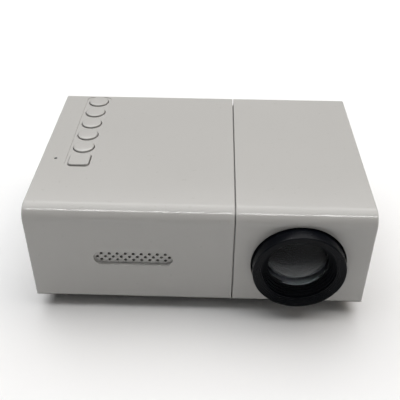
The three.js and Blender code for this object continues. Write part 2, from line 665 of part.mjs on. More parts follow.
// Points of a stair of equal steps from one [radius, depth] to another.
function stair([r0, y0], [r1, y1], steps) {
  return Array.from({ length: steps }, (_, i) => {
    const depth = y0 + ((y1 - y0) * (i + 1)) / steps;
    const rise = (r1 - r0) / steps;
    return [[r0 + rise * i, depth], [r0 + rise * (i + 1), depth]];
  }).flat();
}

// Bore of the barrel from front to rear: grooved funnel, baffle steps, then a wider seat for each element.
function barrelBore() {
  const mouth = [BARREL_RADIUS - RIM_LIP, 0];
  const throat = [mouth[0] - RIM_FUNNEL_WIDTH, RIM_FUNNEL_DEPTH];
  const lip = [FRONT_ELEMENT_RADIUS - FRONT_LIP, FRONT_SEAT_DEPTH - GAP - FRONT_LIP_THICKNESS];
  const section = [mouth, ...stair(mouth, throat, RIM_GROOVES), ...stair(throat, lip, BAFFLE_STEPS)];
  let radius = lip[0];
  for (let i = 0; i < ELEMENT_COUNT; i += 1) {
    const shoulder = elementDepth(i) - GAP;
    const seat = elementRadius(i) + GAP;
    section.push([radius, shoulder], [seat, shoulder]);
    radius = seat;
  }
  section.push([radius, BARREL_LENGTH]);
  return section;
}

// The fixed pins' path as the turning barrel sees it.
function helicalGroove(index) {
  const start = (2 * Math.PI * index) / GUIDE_PINS;
  const margin = 0.12;
  const from = -FOCUS_TURN_IN - margin;
  const to = FOCUS_TURN_OUT + margin;
  const steps = 12;
  const points = Array.from({ length: steps + 1 }, (_, i) => {
    const turn = from + ((to - from) * i) / steps;
    const angle = start - turn;
    const radius = BARREL_RADIUS + GROOVE_RADIUS / 10;
    const depth = GUIDE_PIN_DEPTH + turn * TRAVEL_PER_RADIAN;
    return new THREE.Vector3(-radius * Math.sin(angle), depth, radius * Math.cos(angle));
  });
  const section = new THREE.Shape().absarc(0, 0, GROOVE_RADIUS, 0, 2 * Math.PI);
  const path = new THREE.CatmullRomCurve3(points);
  return solidOf(new THREE.ExtrudeGeometry(section, { steps, curveSegments: 3, extrudePath: path }));
}

function lensBarrel() {
  const outside = [
    [BARREL_RADIUS, BARREL_LENGTH],
    [BARREL_RADIUS, FRICTION_RING_DEPTH + FRICTION_RING_WIDTH + GAP],
    [BARREL_RADIUS - FRICTION_RING_SEAT, FRICTION_RING_DEPTH + FRICTION_RING_WIDTH + GAP],
    [BARREL_RADIUS - FRICTION_RING_SEAT, FRICTION_RING_DEPTH - GAP],
    [BARREL_RADIUS, FRICTION_RING_DEPTH - GAP],
    [BARREL_RADIUS, RING_EDGE],
  ];
  const grooves = Array.from({ length: GUIDE_PINS }, (_, index) => helicalGroove(index));
  return cutBy(turned([...barrelBore(), ...outside], LENS_ROUND), grooves);
}

// Nylon ring in the barrel's rear groove; its key runs in a slot of the sleeve, so it slides but never turns.
function frictionRing() {
  const inner = BARREL_RADIUS - FRICTION_RING_SEAT + GAP;
  const outer = BARREL_RADIUS + BARREL_CLEARANCE / 2;
  const y = [FRICTION_RING_DEPTH, FRICTION_RING_DEPTH + FRICTION_RING_WIDTH];
  const ring = turned([[inner, y[0]], [outer, y[0]], [outer, y[1]], [inner, y[1]]]);
  const tab = box(around(0, FRICTION_KEY_WIDTH / 2), y, [-outer - FRICTION_KEY_REACH, -(inner + outer) / 2]);
  return ring.add(tab);
}

// Points along a spherical face from the axis out to its rim.
function cap(radius, sag, y, steps = 3) {
  const ball = (radius ** 2 + sag ** 2) / (2 * Math.abs(sag));
  return Array.from({ length: steps + 1 }, (_, i) => {
    const r = (radius * i) / steps;
    const rise = Math.sqrt(ball ** 2 - r ** 2) - (ball - Math.abs(sag));
    return [r, y + Math.sign(sag) * rise];
  });
}

// A glass element whose rim starts at y = 0; sags are positive where a face bulges out.
function lensElement(radius, rim, frontSag, rearSag) {
  const clear = radius - ELEMENT_LAND;
  return turned([
    ...cap(clear, -frontSag, 0),
    [radius, 0],
    [radius, rim],
    ...cap(clear, rearSag, rim).reverse(),
  ]);
}

function lensRetainer() {
  const outer = elementRadius(ELEMENT_COUNT - 1);
  return turned([[outer - RETAINER_WIDTH, 0], [outer, 0], [outer, RETAINER_THICKNESS],
    [outer - RETAINER_WIDTH, RETAINER_THICKNESS]]);
}

// ---- Light box -----------------------------------------------------------------------------------

// Plan of the light box set in by `inset` from its outside: narrow at the lamp, wide at the picture panel,
// cut across its far corner behind the folding mirror.
function boxPlan(inset) {
  const wide = WIDE_HALF + BOX_WALL - inset;
  const narrow = NARROW_HALF + BOX_WALL - inset;
  const left = BOX_LEFT_X + inset;
  const step = BOX_STEP_X + inset;
  const right = BOX_RIGHT_X - inset;
  const corner = LENS_X + PATH_Y + Math.SQRT2 * (MIRROR_BACK + BOX_WALL - inset);
  return polygon([
    [left, PATH_Y - narrow], [step, PATH_Y - narrow], [step, PATH_Y - wide], [right, PATH_Y - wide],
    [right, corner - right], [corner - PATH_Y - wide, PATH_Y + wide], [step, PATH_Y + wide],
    [step, PATH_Y + narrow], [left, PATH_Y + narrow],
  ]);
}

// Upright slots in both side walls that hold a plate square across the light path.
function plateSlot(at, thickness, half) {
  return box([LENS_X - at - GAP, LENS_X - at + thickness + GAP], around(PATH_Y, half + SLOT_BITE),
    [BOX_INSIDE_BOTTOM, BOX_TOP + 1]);
}

function plate(at, thickness, half) {
  return box([LENS_X - at, LENS_X - at + thickness], around(PATH_Y, half + PLATE_BITE),
    [BOX_INSIDE_BOTTOM + GAP, BOX_TOP - GAP]);
}

const fieldLens = () => plate(FIELD_LENS_AT, FRESNEL_THICKNESS, WIDE_HALF);
const lcdPanel = () => plate(LCD_AT, LCD_THICKNESS, WIDE_HALF);
const collimatorLens = () => plate(COLLIMATOR_AT, FRESNEL_THICKNESS, WIDE_HALF);
const heatGlass = () => plate(HEAT_GLASS_AT, HEAT_GLASS_THICKNESS, NARROW_HALF);

function guidePin(index) {
  const angle = (2 * Math.PI * index) / GUIDE_PINS;
  const from = BARREL_RADIUS - GUIDE_PIN_REACH;
  const length = SLEEVE_BORE + 1 - from;
  const geometry = new THREE.CylinderGeometry(GUIDE_PIN_RADIUS, GUIDE_PIN_RADIUS, length, TINY_ROUND);
  geometry.translate(0, (from + SLEEVE_BORE + 1) / 2, 0).rotateX(Math.PI / 2).rotateY(-angle);
  geometry.translate(LENS_X, RING_FRONT + GUIDE_PIN_DEPTH, LENS_Z);
  return solidOf(geometry);
}

function lightBox() {
  const bore = [SLEEVE_FRONT - 1, BOX_FRONT + BOX_WALL + 1];
  const at = [LENS_X, LENS_Z];
  const keySlot = box(around(LENS_X, FRICTION_KEY_WIDTH / 2 + GAP), [RING_FRONT + BARREL_LENGTH / 2, bore[1]],
    [LENS_Z - SLEEVE_BORE - FRICTION_KEY_REACH - GAP, LENS_Z]);
  const hollow = prism('z', boxPlan(BOX_WALL), [BOX_INSIDE_BOTTOM, BOX_TOP + 1]);
  const walls = prism('z', boxPlan(0), [BOX_BOTTOM, BOX_TOP]).subtract(hollow);
  const sleeve = rod('y', SLEEVE_OUTER, [SLEEVE_FRONT, BOX_FRONT + BOX_WALL / 2], at, LENS_ROUND);
  const overLid = box([BOX_STEP_X, BOX_RIGHT_X], [BOX_FRONT, PATH_Y], [BOX_TOP, CASE_TOP]);
  const housing = cutBy(walls.add(sleeve), [
    rod('y', SLEEVE_BORE, bore, at, LENS_ROUND),
    overLid,
    keySlot,
    plateSlot(FIELD_LENS_AT, FRESNEL_THICKNESS, WIDE_HALF),
    plateSlot(LCD_AT, LCD_THICKNESS, WIDE_HALF),
    plateSlot(COLLIMATOR_AT, FRESNEL_THICKNESS, WIDE_HALF),
    plateSlot(HEAT_GLASS_AT, HEAT_GLASS_THICKNESS, NARROW_HALF),
    plateSlot(CONDENSER_AT, CONDENSER_RIM, NARROW_HALF),
    rod('x', LAMP_PORT_RADIUS, [BOX_LEFT_X - 1, BOX_LEFT_X + BOX_WALL + 1], [PATH_Y, LENS_Z]),
  ]);
  return joined([housing, ...Array.from({ length: GUIDE_PINS }, (_, index) => guidePin(index))]);
}

function lightBoxLid() {
  const z = [BOX_TOP + GAP, BOX_TOP + GAP + LID_THICKNESS];
  const ribbonX = LENS_X - LCD_AT + LCD_THICKNESS / 2;
  const slot = box(around(ribbonX, RIBBON_THICKNESS / 2 + GAP), around(PATH_Y, RIBBON_WIDTH / 2 + GAP),
    [z[0] - 1, z[1] + 1]);
  return prism('z', boxPlan(GAP), z).subtract(slot);
}

// Plane mirror across the corner of the light path; its reflecting face passes through the group's origin.
function foldingMirror() {
  return box(around(0, MIRROR_LENGTH / 2), [0, MIRROR_THICKNESS],
    [BOX_INSIDE_BOTTOM + GAP - LENS_Z, BOX_TOP - GAP - LENS_Z]);
}

function condenserLens() {
  const radius = NARROW_HALF + PLATE_BITE;
  return turned([[0, 0], [radius, 0], [radius, CONDENSER_RIM],
    ...cap(radius - 1, CONDENSER_SAG, CONDENSER_RIM, 5).reverse()]);
}

// Flat ribbon from the picture panel, over the lid and down to the board.
function lcdRibbon() {
  const y = around(PATH_Y, RIBBON_WIDTH / 2);
  const right = LENS_X - LCD_AT + LCD_THICKNESS / 2;
  const left = BOX_LEFT_X - GAP;
  const over = BOX_TOP + LID_THICKNESS + 2 * GAP;
  const landing = [BOARD_TOP + GAP, BOARD_TOP + GAP + RIBBON_THICKNESS];
  return joined([
    box(around(right, RIBBON_THICKNESS / 2), y, [BOX_TOP, over + RIBBON_THICKNESS]),
    box([left - RIBBON_THICKNESS, right], y, [over, over + RIBBON_THICKNESS]),
    box([left - RIBBON_THICKNESS, left], y, [landing[0], over + RIBBON_THICKNESS]),
    box([BOARD_RIGHT_X - 5, left], y, landing),
  ]);
}

// ---- Lamp and cooling ----------------------------------------------------------------------------

function lampModule() {
  const half = LAMP_BOARD / 2;
  return box([LAMP_FACE_X - LAMP_BOARD_THICKNESS, LAMP_FACE_X], around(PATH_Y, half), around(LENS_Z, half))
    .add(rod('x', LAMP_DOME_RADIUS, [LAMP_FACE_X - LAMP_BOARD_THICKNESS / 2, LAMP_FACE_X + LAMP_DOME_HEIGHT],
      [PATH_Y, LENS_Z]));
}

function heatsink() {
  const half = HEATSINK_HALF;
  const z = [BOX_BOTTOM, BOX_BOTTOM + HEATSINK_HEIGHT];
  const pitch = (2 * half - FIN_THICKNESS) / (FIN_COUNT - 1);
  const base = box([HEATSINK_FACE_X - HEATSINK_BASE, HEATSINK_FACE_X], around(PATH_Y, half), z);
  const fins = Array.from({ length: FIN_COUNT }, (_, i) => {
    const y = PATH_Y - half + i * pitch;
    return box([HEATSINK_LEFT_X, HEATSINK_FACE_X - HEATSINK_BASE / 2], [y, y + FIN_THICKNESS], z);
  });
  return joined([base, ...fins]);
}

// x = 0 is the fan's outer face; the motor plate and its struts are on that side.
function fanFrame() {
  const half = FAN_SIZE / 2;
  const plateThickness = 1.2;
  const frame = box([0, FAN_THICKNESS], around(0, half), around(0, half))
    .subtract(rod('x', FAN_BORE_RADIUS, [-1, FAN_THICKNESS + 1], [0, 0], ROUND));
  const struts = [0, 1, 2, 3].map((i) => box([0, plateThickness], around(0, 1), [0, FAN_BORE_RADIUS + 0.5])
    .rotate([45 + 90 * i, 0, 0]));
  const corner = half - FAN_SCREW_INSET;
  const holes = [[-corner, -corner], [corner, -corner], [corner, corner], [-corner, corner]].map((at) =>
    rod('x', FAN_SCREW_RADIUS, [-1, FAN_THICKNESS + 1], at, TINY_ROUND));
  return cutBy(joined([
    frame,
    ...struts,
    rod('x', FAN_HUB_RADIUS, [0, plateThickness], [0, 0]),
    rod('x', FAN_SHAFT_RADIUS, [plateThickness / 2, FAN_THICKNESS - 3], [0, 0], TINY_ROUND),
  ]), holes);
}

function fanRotor() {
  const x = [1.8, FAN_THICKNESS - 0.8];
  const middle = (x[0] + x[1]) / 2;
  const hub = rod('x', FAN_HUB_RADIUS, x, [0, 0])
    .subtract(rod('x', FAN_SHAFT_RADIUS + GAP, [x[0] - 1, FAN_THICKNESS - 2.4], [0, 0], TINY_ROUND));
  const tip = FAN_BORE_RADIUS - FAN_BLADE_CLEARANCE;
  const halfChord = 3.9;
  const halfThickness = 0.4;
  const pitchAngle = 38;
  const blade = box(around(0, halfThickness), around(0, halfChord), [FAN_HUB_RADIUS - 1, tip])
    .rotate([0, 0, pitchAngle + 90]).translate([middle, 0, 0]);
  const envelope = rod('x', tip, x, [0, 0], ROUND);
  const blades = Array.from({ length: FAN_BLADES }, (_, i) => blade.rotate([(360 * i) / FAN_BLADES, 0, 0]));
  return hub.add(joined(blades).intersect(envelope));
}

// ---- Boards, sockets and sound -------------------------------------------------------------------

// Board round the case screws: a main field left of the light box and a strip for the rear sockets.
function mainboard() {
  const z = [BOARD_UNDER, BOARD_TOP];
  const left = LEFT + PANEL_INSET + WALL + BOARD_EDGE;
  const front = FRONT + WALL + BOARD_EDGE;
  const rear = REAR - WALL - BOARD_EDGE;
  const stripFront = PATH_Y + NARROW_HALF + BOX_WALL + BOARD_EDGE;
  const field = box([left, BOARD_RIGHT_X], [front, rear], z);
  const strip = box([left, BOX_STEP_X - BOARD_EDGE], [stripFront, rear], z);
  const postHoles = CONTROL_POSTS.map((at) => rod('z', POST_RADIUS + 2 * GAP, [z[0] - 1, z[1] + 1], at));
  return cutBy(field.add(strip), postHoles);
}

function mainChip() {
  const half = CHIP_SIZE / 2;
  return box(around(0, half), around(0, half), [0, CHIP_THICKNESS]);
}

// y = 0 is the socket's mouth; the tongue carries the contacts.
function rearSocket({ width, height, depth, shell, tongue }) {
  const half = width / 2;
  const back = 1.5;
  const body = box(around(0, half), [-depth, 0], around(0, height / 2));
  const hollow = box(around(0, half - shell), [-depth + back, 1], around(0, height / 2 - shell));
  const socket = body.subtract(hollow);
  if (!tongue) return socket;
  return socket.add(box(around(0, half - shell - 1.2), [-depth + back / 2, -1], around(0, tongue / 2)));
}

// x = 0 is the socket's mouth.
function sideSocket({ nose, bore, pin }) {
  const half = nose + SIDE_SOCKET_WALL;
  const noseLength = PANEL_INSET + WALL + GAP - SOCKET_RECESS;
  const bottom = SIDE_SOCKET_LENGTH - 1;
  const socket = box([noseLength, SIDE_SOCKET_LENGTH], around(0, half), around(0, half))
    .add(rod('x', nose, [0, noseLength + 1], [0, 0]))
    .subtract(rod('x', bore, [-1, bottom], [0, 0]));
  return pin ? socket.add(rod('x', pin, [1, bottom + 0.5], [0, 0], TINY_ROUND)) : socket;
}

function irReceiver() {
  const half = IR_HEIGHT / 2;
  return box([0, 2.5], around(0, half), around(0, half))
    .add(rod('x', IR_RADIUS, [-1.5, 1], [0, 0]));
}

function speaker() {
  const y = FRONT + WALL + 2 * GAP + CLOTH_THICKNESS;
  const back = y + SPEAKER_FRAME;
  const outline = stadium(around(GRILLE_X, SPEAKER_WIDTH / 2), around(GRILLE_Z, SPEAKER_HEIGHT / 2));
  const cone = turned([[0, y + SPEAKER_CONE_DEPTH], [SPEAKER_CONE_RADIUS / 3, y + SPEAKER_CONE_DEPTH],
    [SPEAKER_CONE_RADIUS, y - 1], [0, y - 1]]).translate([GRILLE_X, 0, GRILLE_Z]);
  return prism('y', outline, [y, back])
    .add(rod('y', SPEAKER_MAGNET_RADIUS, [back - 1, back + SPEAKER_MAGNET], [GRILLE_X, GRILLE_Z]))
    .subtract(cone);
}

function grilleCloth() {
  const y = FRONT + WALL + GAP;
  const outline = stadium(around(GRILLE_X, GRILLE_WIDTH / 2 + CLOTH_MARGIN),
    around(GRILLE_Z, GRILLE_HEIGHT / 2 + CLOTH_MARGIN));
  return prism('y', outline, [y, y + CLOTH_THICKNESS]);
}

// Leads run from each unit to the underside of the board.
const LEAD_END_Z = BOARD_UNDER - LEAD_RADIUS - GAP;

function fanLead() {
  const y = PATH_Y + FAN_SIZE / 2 + LEAD_RADIUS + GAP;
  const x = (FAN_LEFT_X + FAN_RIGHT_X) / 2;
  return lead([[x, y, FAN_Z], [x, y + 1, FAN_Z + 9], [x + 5, y + 2, LEAD_END_Z - 1],
    [x + 9, y + 2, LEAD_END_Z]]);
}

function lampLead() {
  const x = LAMP_FACE_X - LAMP_BOARD_THICKNESS / 2;
  const start = PATH_Y - LAMP_BOARD / 2 - LEAD_RADIUS - GAP;
  const side = PATH_Y - HEATSINK_HALF - LEAD_RADIUS - GAP;
  return lead([[x, start, LENS_Z], [x, side, LENS_Z + 1], [x - 1, side - 1, LENS_Z + 5],
    [x - 9, side - 2, LEAD_END_Z]]);
}

function speakerLead() {
  const y = FRONT + WALL + 3 * GAP + CLOTH_THICKNESS + SPEAKER_FRAME + SPEAKER_MAGNET + LEAD_RADIUS;
  return lead([[GRILLE_X, y, GRILLE_Z], [GRILLE_X - 1, y + 1, GRILLE_Z + 7],
    [GRILLE_X - 6, y + 3, LEAD_END_Z - 1], [GRILLE_X - 10, y + 4, LEAD_END_Z]]);
}

// ---- Assembly ------------------------------------------------------------------------------------

const PLASTIC_WHITE = { color: 0xe4e3df, roughness: 0.48, metalness: 0 };
const PLASTIC_BLACK = { color: 0x0e0f11, roughness: 0.22, metalness: 0 };
const PLASTIC_GREY = { color: 0x3a3b3d, roughness: 0.6, metalness: 0 };
const GLASS = { color: 0x9fb0b4, roughness: 0.05, metalness: 0 };
const METAL = { color: 0xb9bbbd, roughness: 0.35, metalness: 1 };
const BRASS = { color: 0xb8985a, roughness: 0.4, metalness: 1 };
const RUBBER = { color: 0x1b1b1c, roughness: 0.85, metalness: 0 };
const BOARD_GREEN = { color: 0x1f5a38, roughness: 0.5, metalness: 0 };
const LEAD_RED = { color: 0xa33327, roughness: 0.5, metalness: 0 };

function add(group, name, solid, look, position = [0, 0, 0]) {
  const mesh = new THREE.Mesh(geometryOf(solid), new THREE.MeshStandardMaterial(look));
  mesh.name = name;
  mesh.position.set(...position);
  group.add(mesh);
  return mesh;
}

function casing() {
  const group = new THREE.Group();
  add(group, 'control_cover', controlCover(), PLASTIC_WHITE);
  add(group, 'lens_cover', lensCover(), PLASTIC_WHITE);
  add(group, 'left_end_panel', leftEndPanel(), PLASTIC_WHITE);
  add(group, 'right_end_panel', rightEndPanel(), PLASTIC_WHITE);
  add(group, 'base_plate', basePlate(), PLASTIC_WHITE);
  add(group, 'tripod_insert', tripodInsert(), BRASS, [INSERT_X, INSERT_Y, BASE_CLEARANCE]);
  add(group, 'grille_cloth', grilleCloth(), PLASTIC_GREY);
  Object.entries(FOOT_PLACES).forEach(([name, [x, y]]) => add(group, name, foot(), RUBBER, [x, y, 0]));
  POSTS.forEach(([x, y], i) => add(group, `case_screw_${i + 1}`, caseScrew(), METAL,
    [x, y, BASE_CLEARANCE + SCREW_HEAD_SEAT - GAP - SCREW_HEAD_HEIGHT]));
  return group;
}

function keypad() {
  const group = new THREE.Group();
  KEY_NAMES.forEach((name, index) => {
    const square = index === KEY_NAMES.length - 1;
    add(group, name, key(square), PLASTIC_WHITE, [KEY_X, keyY(index), CASE_TOP + KEY_PROUD]);
    const switchPlace = [KEY_X, keyY(index), BOARD_TOP + GAP];
    add(group, name.replace('key', 'switch'), keySwitch(), PLASTIC_GREY, switchPlace);
  });
  add(group, 'indicator_lens', indicatorLens(), GLASS, [INDICATOR_X, INDICATOR_Y, 0]);
  return group;
}

function projectionLens() {
  const group = new THREE.Group();
  group.position.set(LENS_X, RING_FRONT, LENS_Z);
  add(group, 'lens_barrel', lensBarrel(), PLASTIC_BLACK);
  add(group, 'friction_ring', frictionRing(), PLASTIC_GREY);
  const sags = {
    front_lens: [ELEMENT_SAG, ELEMENT_SAG / 2],
    middle_lens: [-ELEMENT_SAG / 3, -ELEMENT_SAG / 3],
    rear_lens: [ELEMENT_SAG / 2, ELEMENT_SAG / 2],
  };
  Object.entries(sags).forEach(([name, [frontSag, rearSag]], index) => {
    const element = lensElement(elementRadius(index), ELEMENT_RIM, frontSag, rearSag);
    add(group, name, element, GLASS, [0, elementDepth(index), 0]);
  });
  const retainerDepth = elementDepth(ELEMENT_COUNT - 1) + ELEMENT_RIM + GAP;
  add(group, 'lens_retainer', lensRetainer(), PLASTIC_BLACK, [0, retainerDepth, 0]);
  return group;
}

function opticalEngine() {
  const group = new THREE.Group();
  add(group, 'light_box', lightBox(), PLASTIC_GREY);
  add(group, 'light_box_lid', lightBoxLid(), PLASTIC_GREY);
  add(group, 'field_lens', fieldLens(), GLASS);
  add(group, 'lcd_panel', lcdPanel(), PLASTIC_BLACK);
  add(group, 'collimator_lens', collimatorLens(), GLASS);
  add(group, 'heat_glass', heatGlass(), GLASS);
  add(group, 'lcd_ribbon', lcdRibbon(), LEAD_RED);
  const mirror = add(group, 'folding_mirror', foldingMirror(), METAL, [LENS_X, PATH_Y, LENS_Z]);
  mirror.rotation.z = -Math.PI / 4;
  const condenserPlace = [LENS_X - CONDENSER_AT, PATH_Y, LENS_Z];
  const condenser = add(group, 'condenser_lens', condenserLens(), GLASS, condenserPlace);
  condenser.rotation.z = -Math.PI / 2;
  return group;
}

function cooling() {
  const group = new THREE.Group();
  add(group, 'lamp_module', lampModule(), BRASS);
  add(group, 'heatsink', heatsink(), METAL);
  add(group, 'fan_frame', fanFrame(), PLASTIC_BLACK, [FAN_LEFT_X, PATH_Y, FAN_Z]);
  add(group, 'fan_rotor', fanRotor(), PLASTIC_BLACK, [FAN_LEFT_X, PATH_Y, FAN_Z]);
  return group;
}

function electronics() {
  const group = new THREE.Group();
  add(group, 'mainboard', mainboard(), BOARD_GREEN);
  const chipX = KEY_X + SWITCH_SIZE + CHIP_SIZE / 2;
  const chipY = PATH_Y - RIBBON_WIDTH / 2 - CHIP_SIZE;
  add(group, 'main_chip', mainChip(), PLASTIC_BLACK, [chipX, chipY, BOARD_TOP + GAP]);
  Object.entries(REAR_SOCKETS).forEach(([name, socket]) => add(group, name, rearSocket(socket), METAL,
    [socket.x, REAR - SOCKET_RECESS, SOCKET_TOP - socket.height / 2]));
  Object.entries(SIDE_SOCKETS).forEach(([name, socket]) => add(group, name, sideSocket(socket), PLASTIC_BLACK,
    [LEFT + SOCKET_RECESS, socket.y, sideSocketZ(socket)]));
  add(group, 'ir_receiver', irReceiver(), PLASTIC_BLACK,
    [LEFT + PANEL_INSET + WALL + GAP, IR_Y, SOCKET_TOP - IR_HEIGHT / 2]);
  add(group, 'speaker', speaker(), PLASTIC_BLACK);
  add(group, 'fan_lead', fanLead(), LEAD_RED);
  add(group, 'lamp_lead', lampLead(), LEAD_RED);
  add(group, 'speaker_lead', speakerLead(), LEAD_RED);
  return group;
}

const projector = new THREE.Group();
projector.name = 'projector';
projector.position.y = LENS_PROJECTION / 2;
projector.add(casing(), keypad(), projectionLens(), opticalEngine(), cooling(), electronics());

export default projector;
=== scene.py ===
"""A compact home projector: white moulded case, key column, sound grille and turning black lens ring."""

import math

import bmesh
import bpy
from mathutils import Matrix, Vector


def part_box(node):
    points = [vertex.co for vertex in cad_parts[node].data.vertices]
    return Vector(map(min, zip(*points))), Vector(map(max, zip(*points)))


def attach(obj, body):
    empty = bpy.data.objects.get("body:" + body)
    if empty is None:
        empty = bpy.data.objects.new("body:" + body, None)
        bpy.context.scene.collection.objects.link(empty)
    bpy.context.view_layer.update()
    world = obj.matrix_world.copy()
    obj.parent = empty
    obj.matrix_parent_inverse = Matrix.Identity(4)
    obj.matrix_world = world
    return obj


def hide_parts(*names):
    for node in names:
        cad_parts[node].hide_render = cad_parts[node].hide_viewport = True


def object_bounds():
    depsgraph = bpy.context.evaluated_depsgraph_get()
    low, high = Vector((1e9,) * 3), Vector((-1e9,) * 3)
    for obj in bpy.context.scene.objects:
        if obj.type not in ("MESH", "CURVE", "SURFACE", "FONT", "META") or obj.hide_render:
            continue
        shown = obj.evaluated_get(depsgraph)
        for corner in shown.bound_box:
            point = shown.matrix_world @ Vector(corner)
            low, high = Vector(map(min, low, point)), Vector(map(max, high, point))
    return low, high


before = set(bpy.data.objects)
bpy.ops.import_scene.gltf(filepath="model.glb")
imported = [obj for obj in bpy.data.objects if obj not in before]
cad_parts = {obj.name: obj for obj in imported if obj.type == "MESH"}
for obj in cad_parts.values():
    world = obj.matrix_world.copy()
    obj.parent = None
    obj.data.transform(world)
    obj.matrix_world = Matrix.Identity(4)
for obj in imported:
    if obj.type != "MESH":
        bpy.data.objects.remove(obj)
cad_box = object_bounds()


# ---- Control cover ------------------------------------------------------------------------------
# The left, larger half of the case: one ABS moulding that wraps from the front wall over a rounded
# edge and the top down the rear wall, with a fine spark-eroded grain outside. A thin tongue along
# its right edge slides under the lens cover, and screw posts hang from its top.

MM = 0.001
JOINT_GAP = 0.3 * MM
COVER_WALL = 2 * MM
FRONT_EDGE_RADIUS = 5.5 * MM
REAR_EDGE_RADIUS = 1.0 * MM
SEAM_GAP = 0.4 * MM
SEAM_EDGE = 0.18 * MM  # rounding of the edges along the seam
END_EDGE = 0.7 * MM  # rounding of the covers' outer ends
INNER_CORNER = 0.3 * MM
HOLE_FLARE = 0.18 * MM  # rounding at the mouth of a moulded hole
MOUTH_PROUD = 0.01 * MM  # a cutter's mouth stands this far off the face it opens
THROUGH = 4 * MM  # a cutter this deep passes any wall
TONGUE = {"root": 2.4 * MM, "reach": 3.2 * MM, "thickness": 1.2 * MM}
POST_RADIUS = 2.5 * MM
POST_FOOT = 8.3 * MM  # height above the table
LIP_TOP = 12 * MM
INDICATOR = {"hole": 0.65 * MM, "flare": 0.1 * MM}
SOCKET = {"gap": 0.35 * MM, "corner": 0.6 * MM}
GRILLE = {
    "margin": 1.2 * MM,
    "recess": 1.2 * MM,
    "recess_flare": 0.25 * MM,
    "hole": 0.56 * MM,
    "hole_flare": 0.08 * MM,
    "hole_depth": 3 * MM,
    "pitch": 2.98 * MM,
    "row_pitch": 1.45 * MM,
    "rows": (9, 10, 9),
}
KEY_STRIP = {
    "width": 10.8 * MM,
    "depth": 0.25 * MM,
    "corner": 2.5 * MM,
    "flare": 0.1 * MM,
    "front": 5.1 * MM,  # before the middle of the square key
    "rear": 1.5 * MM,  # short of the rear wall
}
ROUND_KEYS = ["power_key", "source_key", "menu_key", "left_key", "right_key"]
SQUARE_KEY = "play_key"
KEY_RADIUS = 4.05 * MM
SQUARE_KEY_SIZE = 8 * MM
SQUARE_KEY_CORNER = 1.5 * MM
FRONT, REAR, UP = Vector((0, -1, 0)), Vector((0, 1, 0)), Vector((0, 0, 1))


def middle(node):
    """The middle of a node's box."""
    low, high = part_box(node)
    return (low + high) / 2


def object_of(name, shape):
    """Turns a finished bmesh into an object of that name at the origin."""
    mesh = bpy.data.meshes.new(name)
    shape.to_mesh(mesh)
    shape.free()
    piece = bpy.data.objects.new(name, mesh)
    bpy.context.scene.collection.objects.link(piece)
    return piece


def settled(piece):
    """Applies every modifier of a piece and leaves it a plain mesh."""
    graph = bpy.context.evaluated_depsgraph_get()
    finished = bpy.data.meshes.new_from_object(piece.evaluated_get(graph))
    piece.modifiers.clear()
    piece.data = finished


def combined(piece, others, operation):
    """Joins other solids to a piece, or cuts them from it, one after another, and uses them up."""
    for other in others:
        step = piece.modifiers.new(operation.title(), "BOOLEAN")
        step.operation = operation
        step.solver = "EXACT"
        step.object = other
    settled(piece)
    for other in others:
        bpy.data.objects.remove(other)
    return piece


def one_of(pieces):
    """One object that holds the meshes of several."""
    shape = bmesh.new()
    for piece in pieces:
        shape.from_mesh(piece.data)
        bpy.data.objects.remove(piece)
    return object_of("cutters", shape)


def facing(direction, point, across=None):
    """The placing that turns a tool's +Z to a direction, and its +X across, with its mouth at a point."""
    if across is None:
        return Matrix.Translation(point) @ direction.to_track_quat("Z", "Y").to_matrix().to_4x4()
    turn = Matrix((across, direction.cross(across), direction)).transposed()
    return Matrix.Translation(point) @ turn.to_4x4()


def outline_face(shape, width, height, corner, segments):
    """One upward face, a rectangle with rounded corners: a circle or a stadium when they meet."""
    bmesh.ops.create_grid(shape, x_segments=1, y_segments=1, size=0.5)
    bmesh.ops.scale(shape, vec=(width, height, 1), verts=shape.verts)
    limit = min(width, height) / 2 - 1e-7
    bmesh.ops.bevel(shape, geom=list(shape.verts), offset=min(corner, limit), affect="VERTICES",
                    segments=segments, profile=0.5, material=-1)
    bmesh.ops.remove_doubles(shape, verts=shape.verts, dist=1e-6)
    return shape.faces[:]


def hole_tool(width, height, corner, depth, direction, mouth, flare=HOLE_FLARE, segments=8,
              clearance=1 * MM, across=None):
    """A cutter for a straight hole or recess whose mouth is rounded off."""
    shape = bmesh.new()
    top = outline_face(shape, width + 2 * flare, height + 2 * flare, corner + flare, segments)
    side = bmesh.ops.extrude_face_region(shape, geom=top)
    lifted = [v for v in side["geom"] if isinstance(v, bmesh.types.BMVert)]
    bmesh.ops.translate(shape, vec=(0, 0, clearance), verts=lifted)
    bmesh.ops.recalc_face_normals(shape, faces=shape.faces)
    floor = [f for f in shape.faces if f.normal.z < -0.9]
    steps = 4
    for i in range(steps):
        before, after = (math.radians(90 * k / steps) for k in (i, i + 1))
        bmesh.ops.inset_region(shape, faces=floor, use_boundary=True, use_even_offset=True,
                               thickness=flare * (math.sin(after) - math.sin(before)),
                               depth=flare * (math.cos(before) - math.cos(after)))
    bored = bmesh.ops.extrude_face_region(shape, geom=floor)
    lowered = [v for v in bored["geom"] if isinstance(v, bmesh.types.BMVert)]
    bmesh.ops.delete(shape, geom=floor, context="FACES_ONLY")
    bmesh.ops.translate(shape, vec=(0, 0, flare - depth - MOUTH_PROUD), verts=lowered)
    bmesh.ops.recalc_face_normals(shape, faces=shape.faces)
    placing = facing(direction, mouth + direction * MOUTH_PROUD, across)
    bmesh.ops.transform(shape, matrix=placing, verts=shape.verts)
    return object_of("hole", shape)


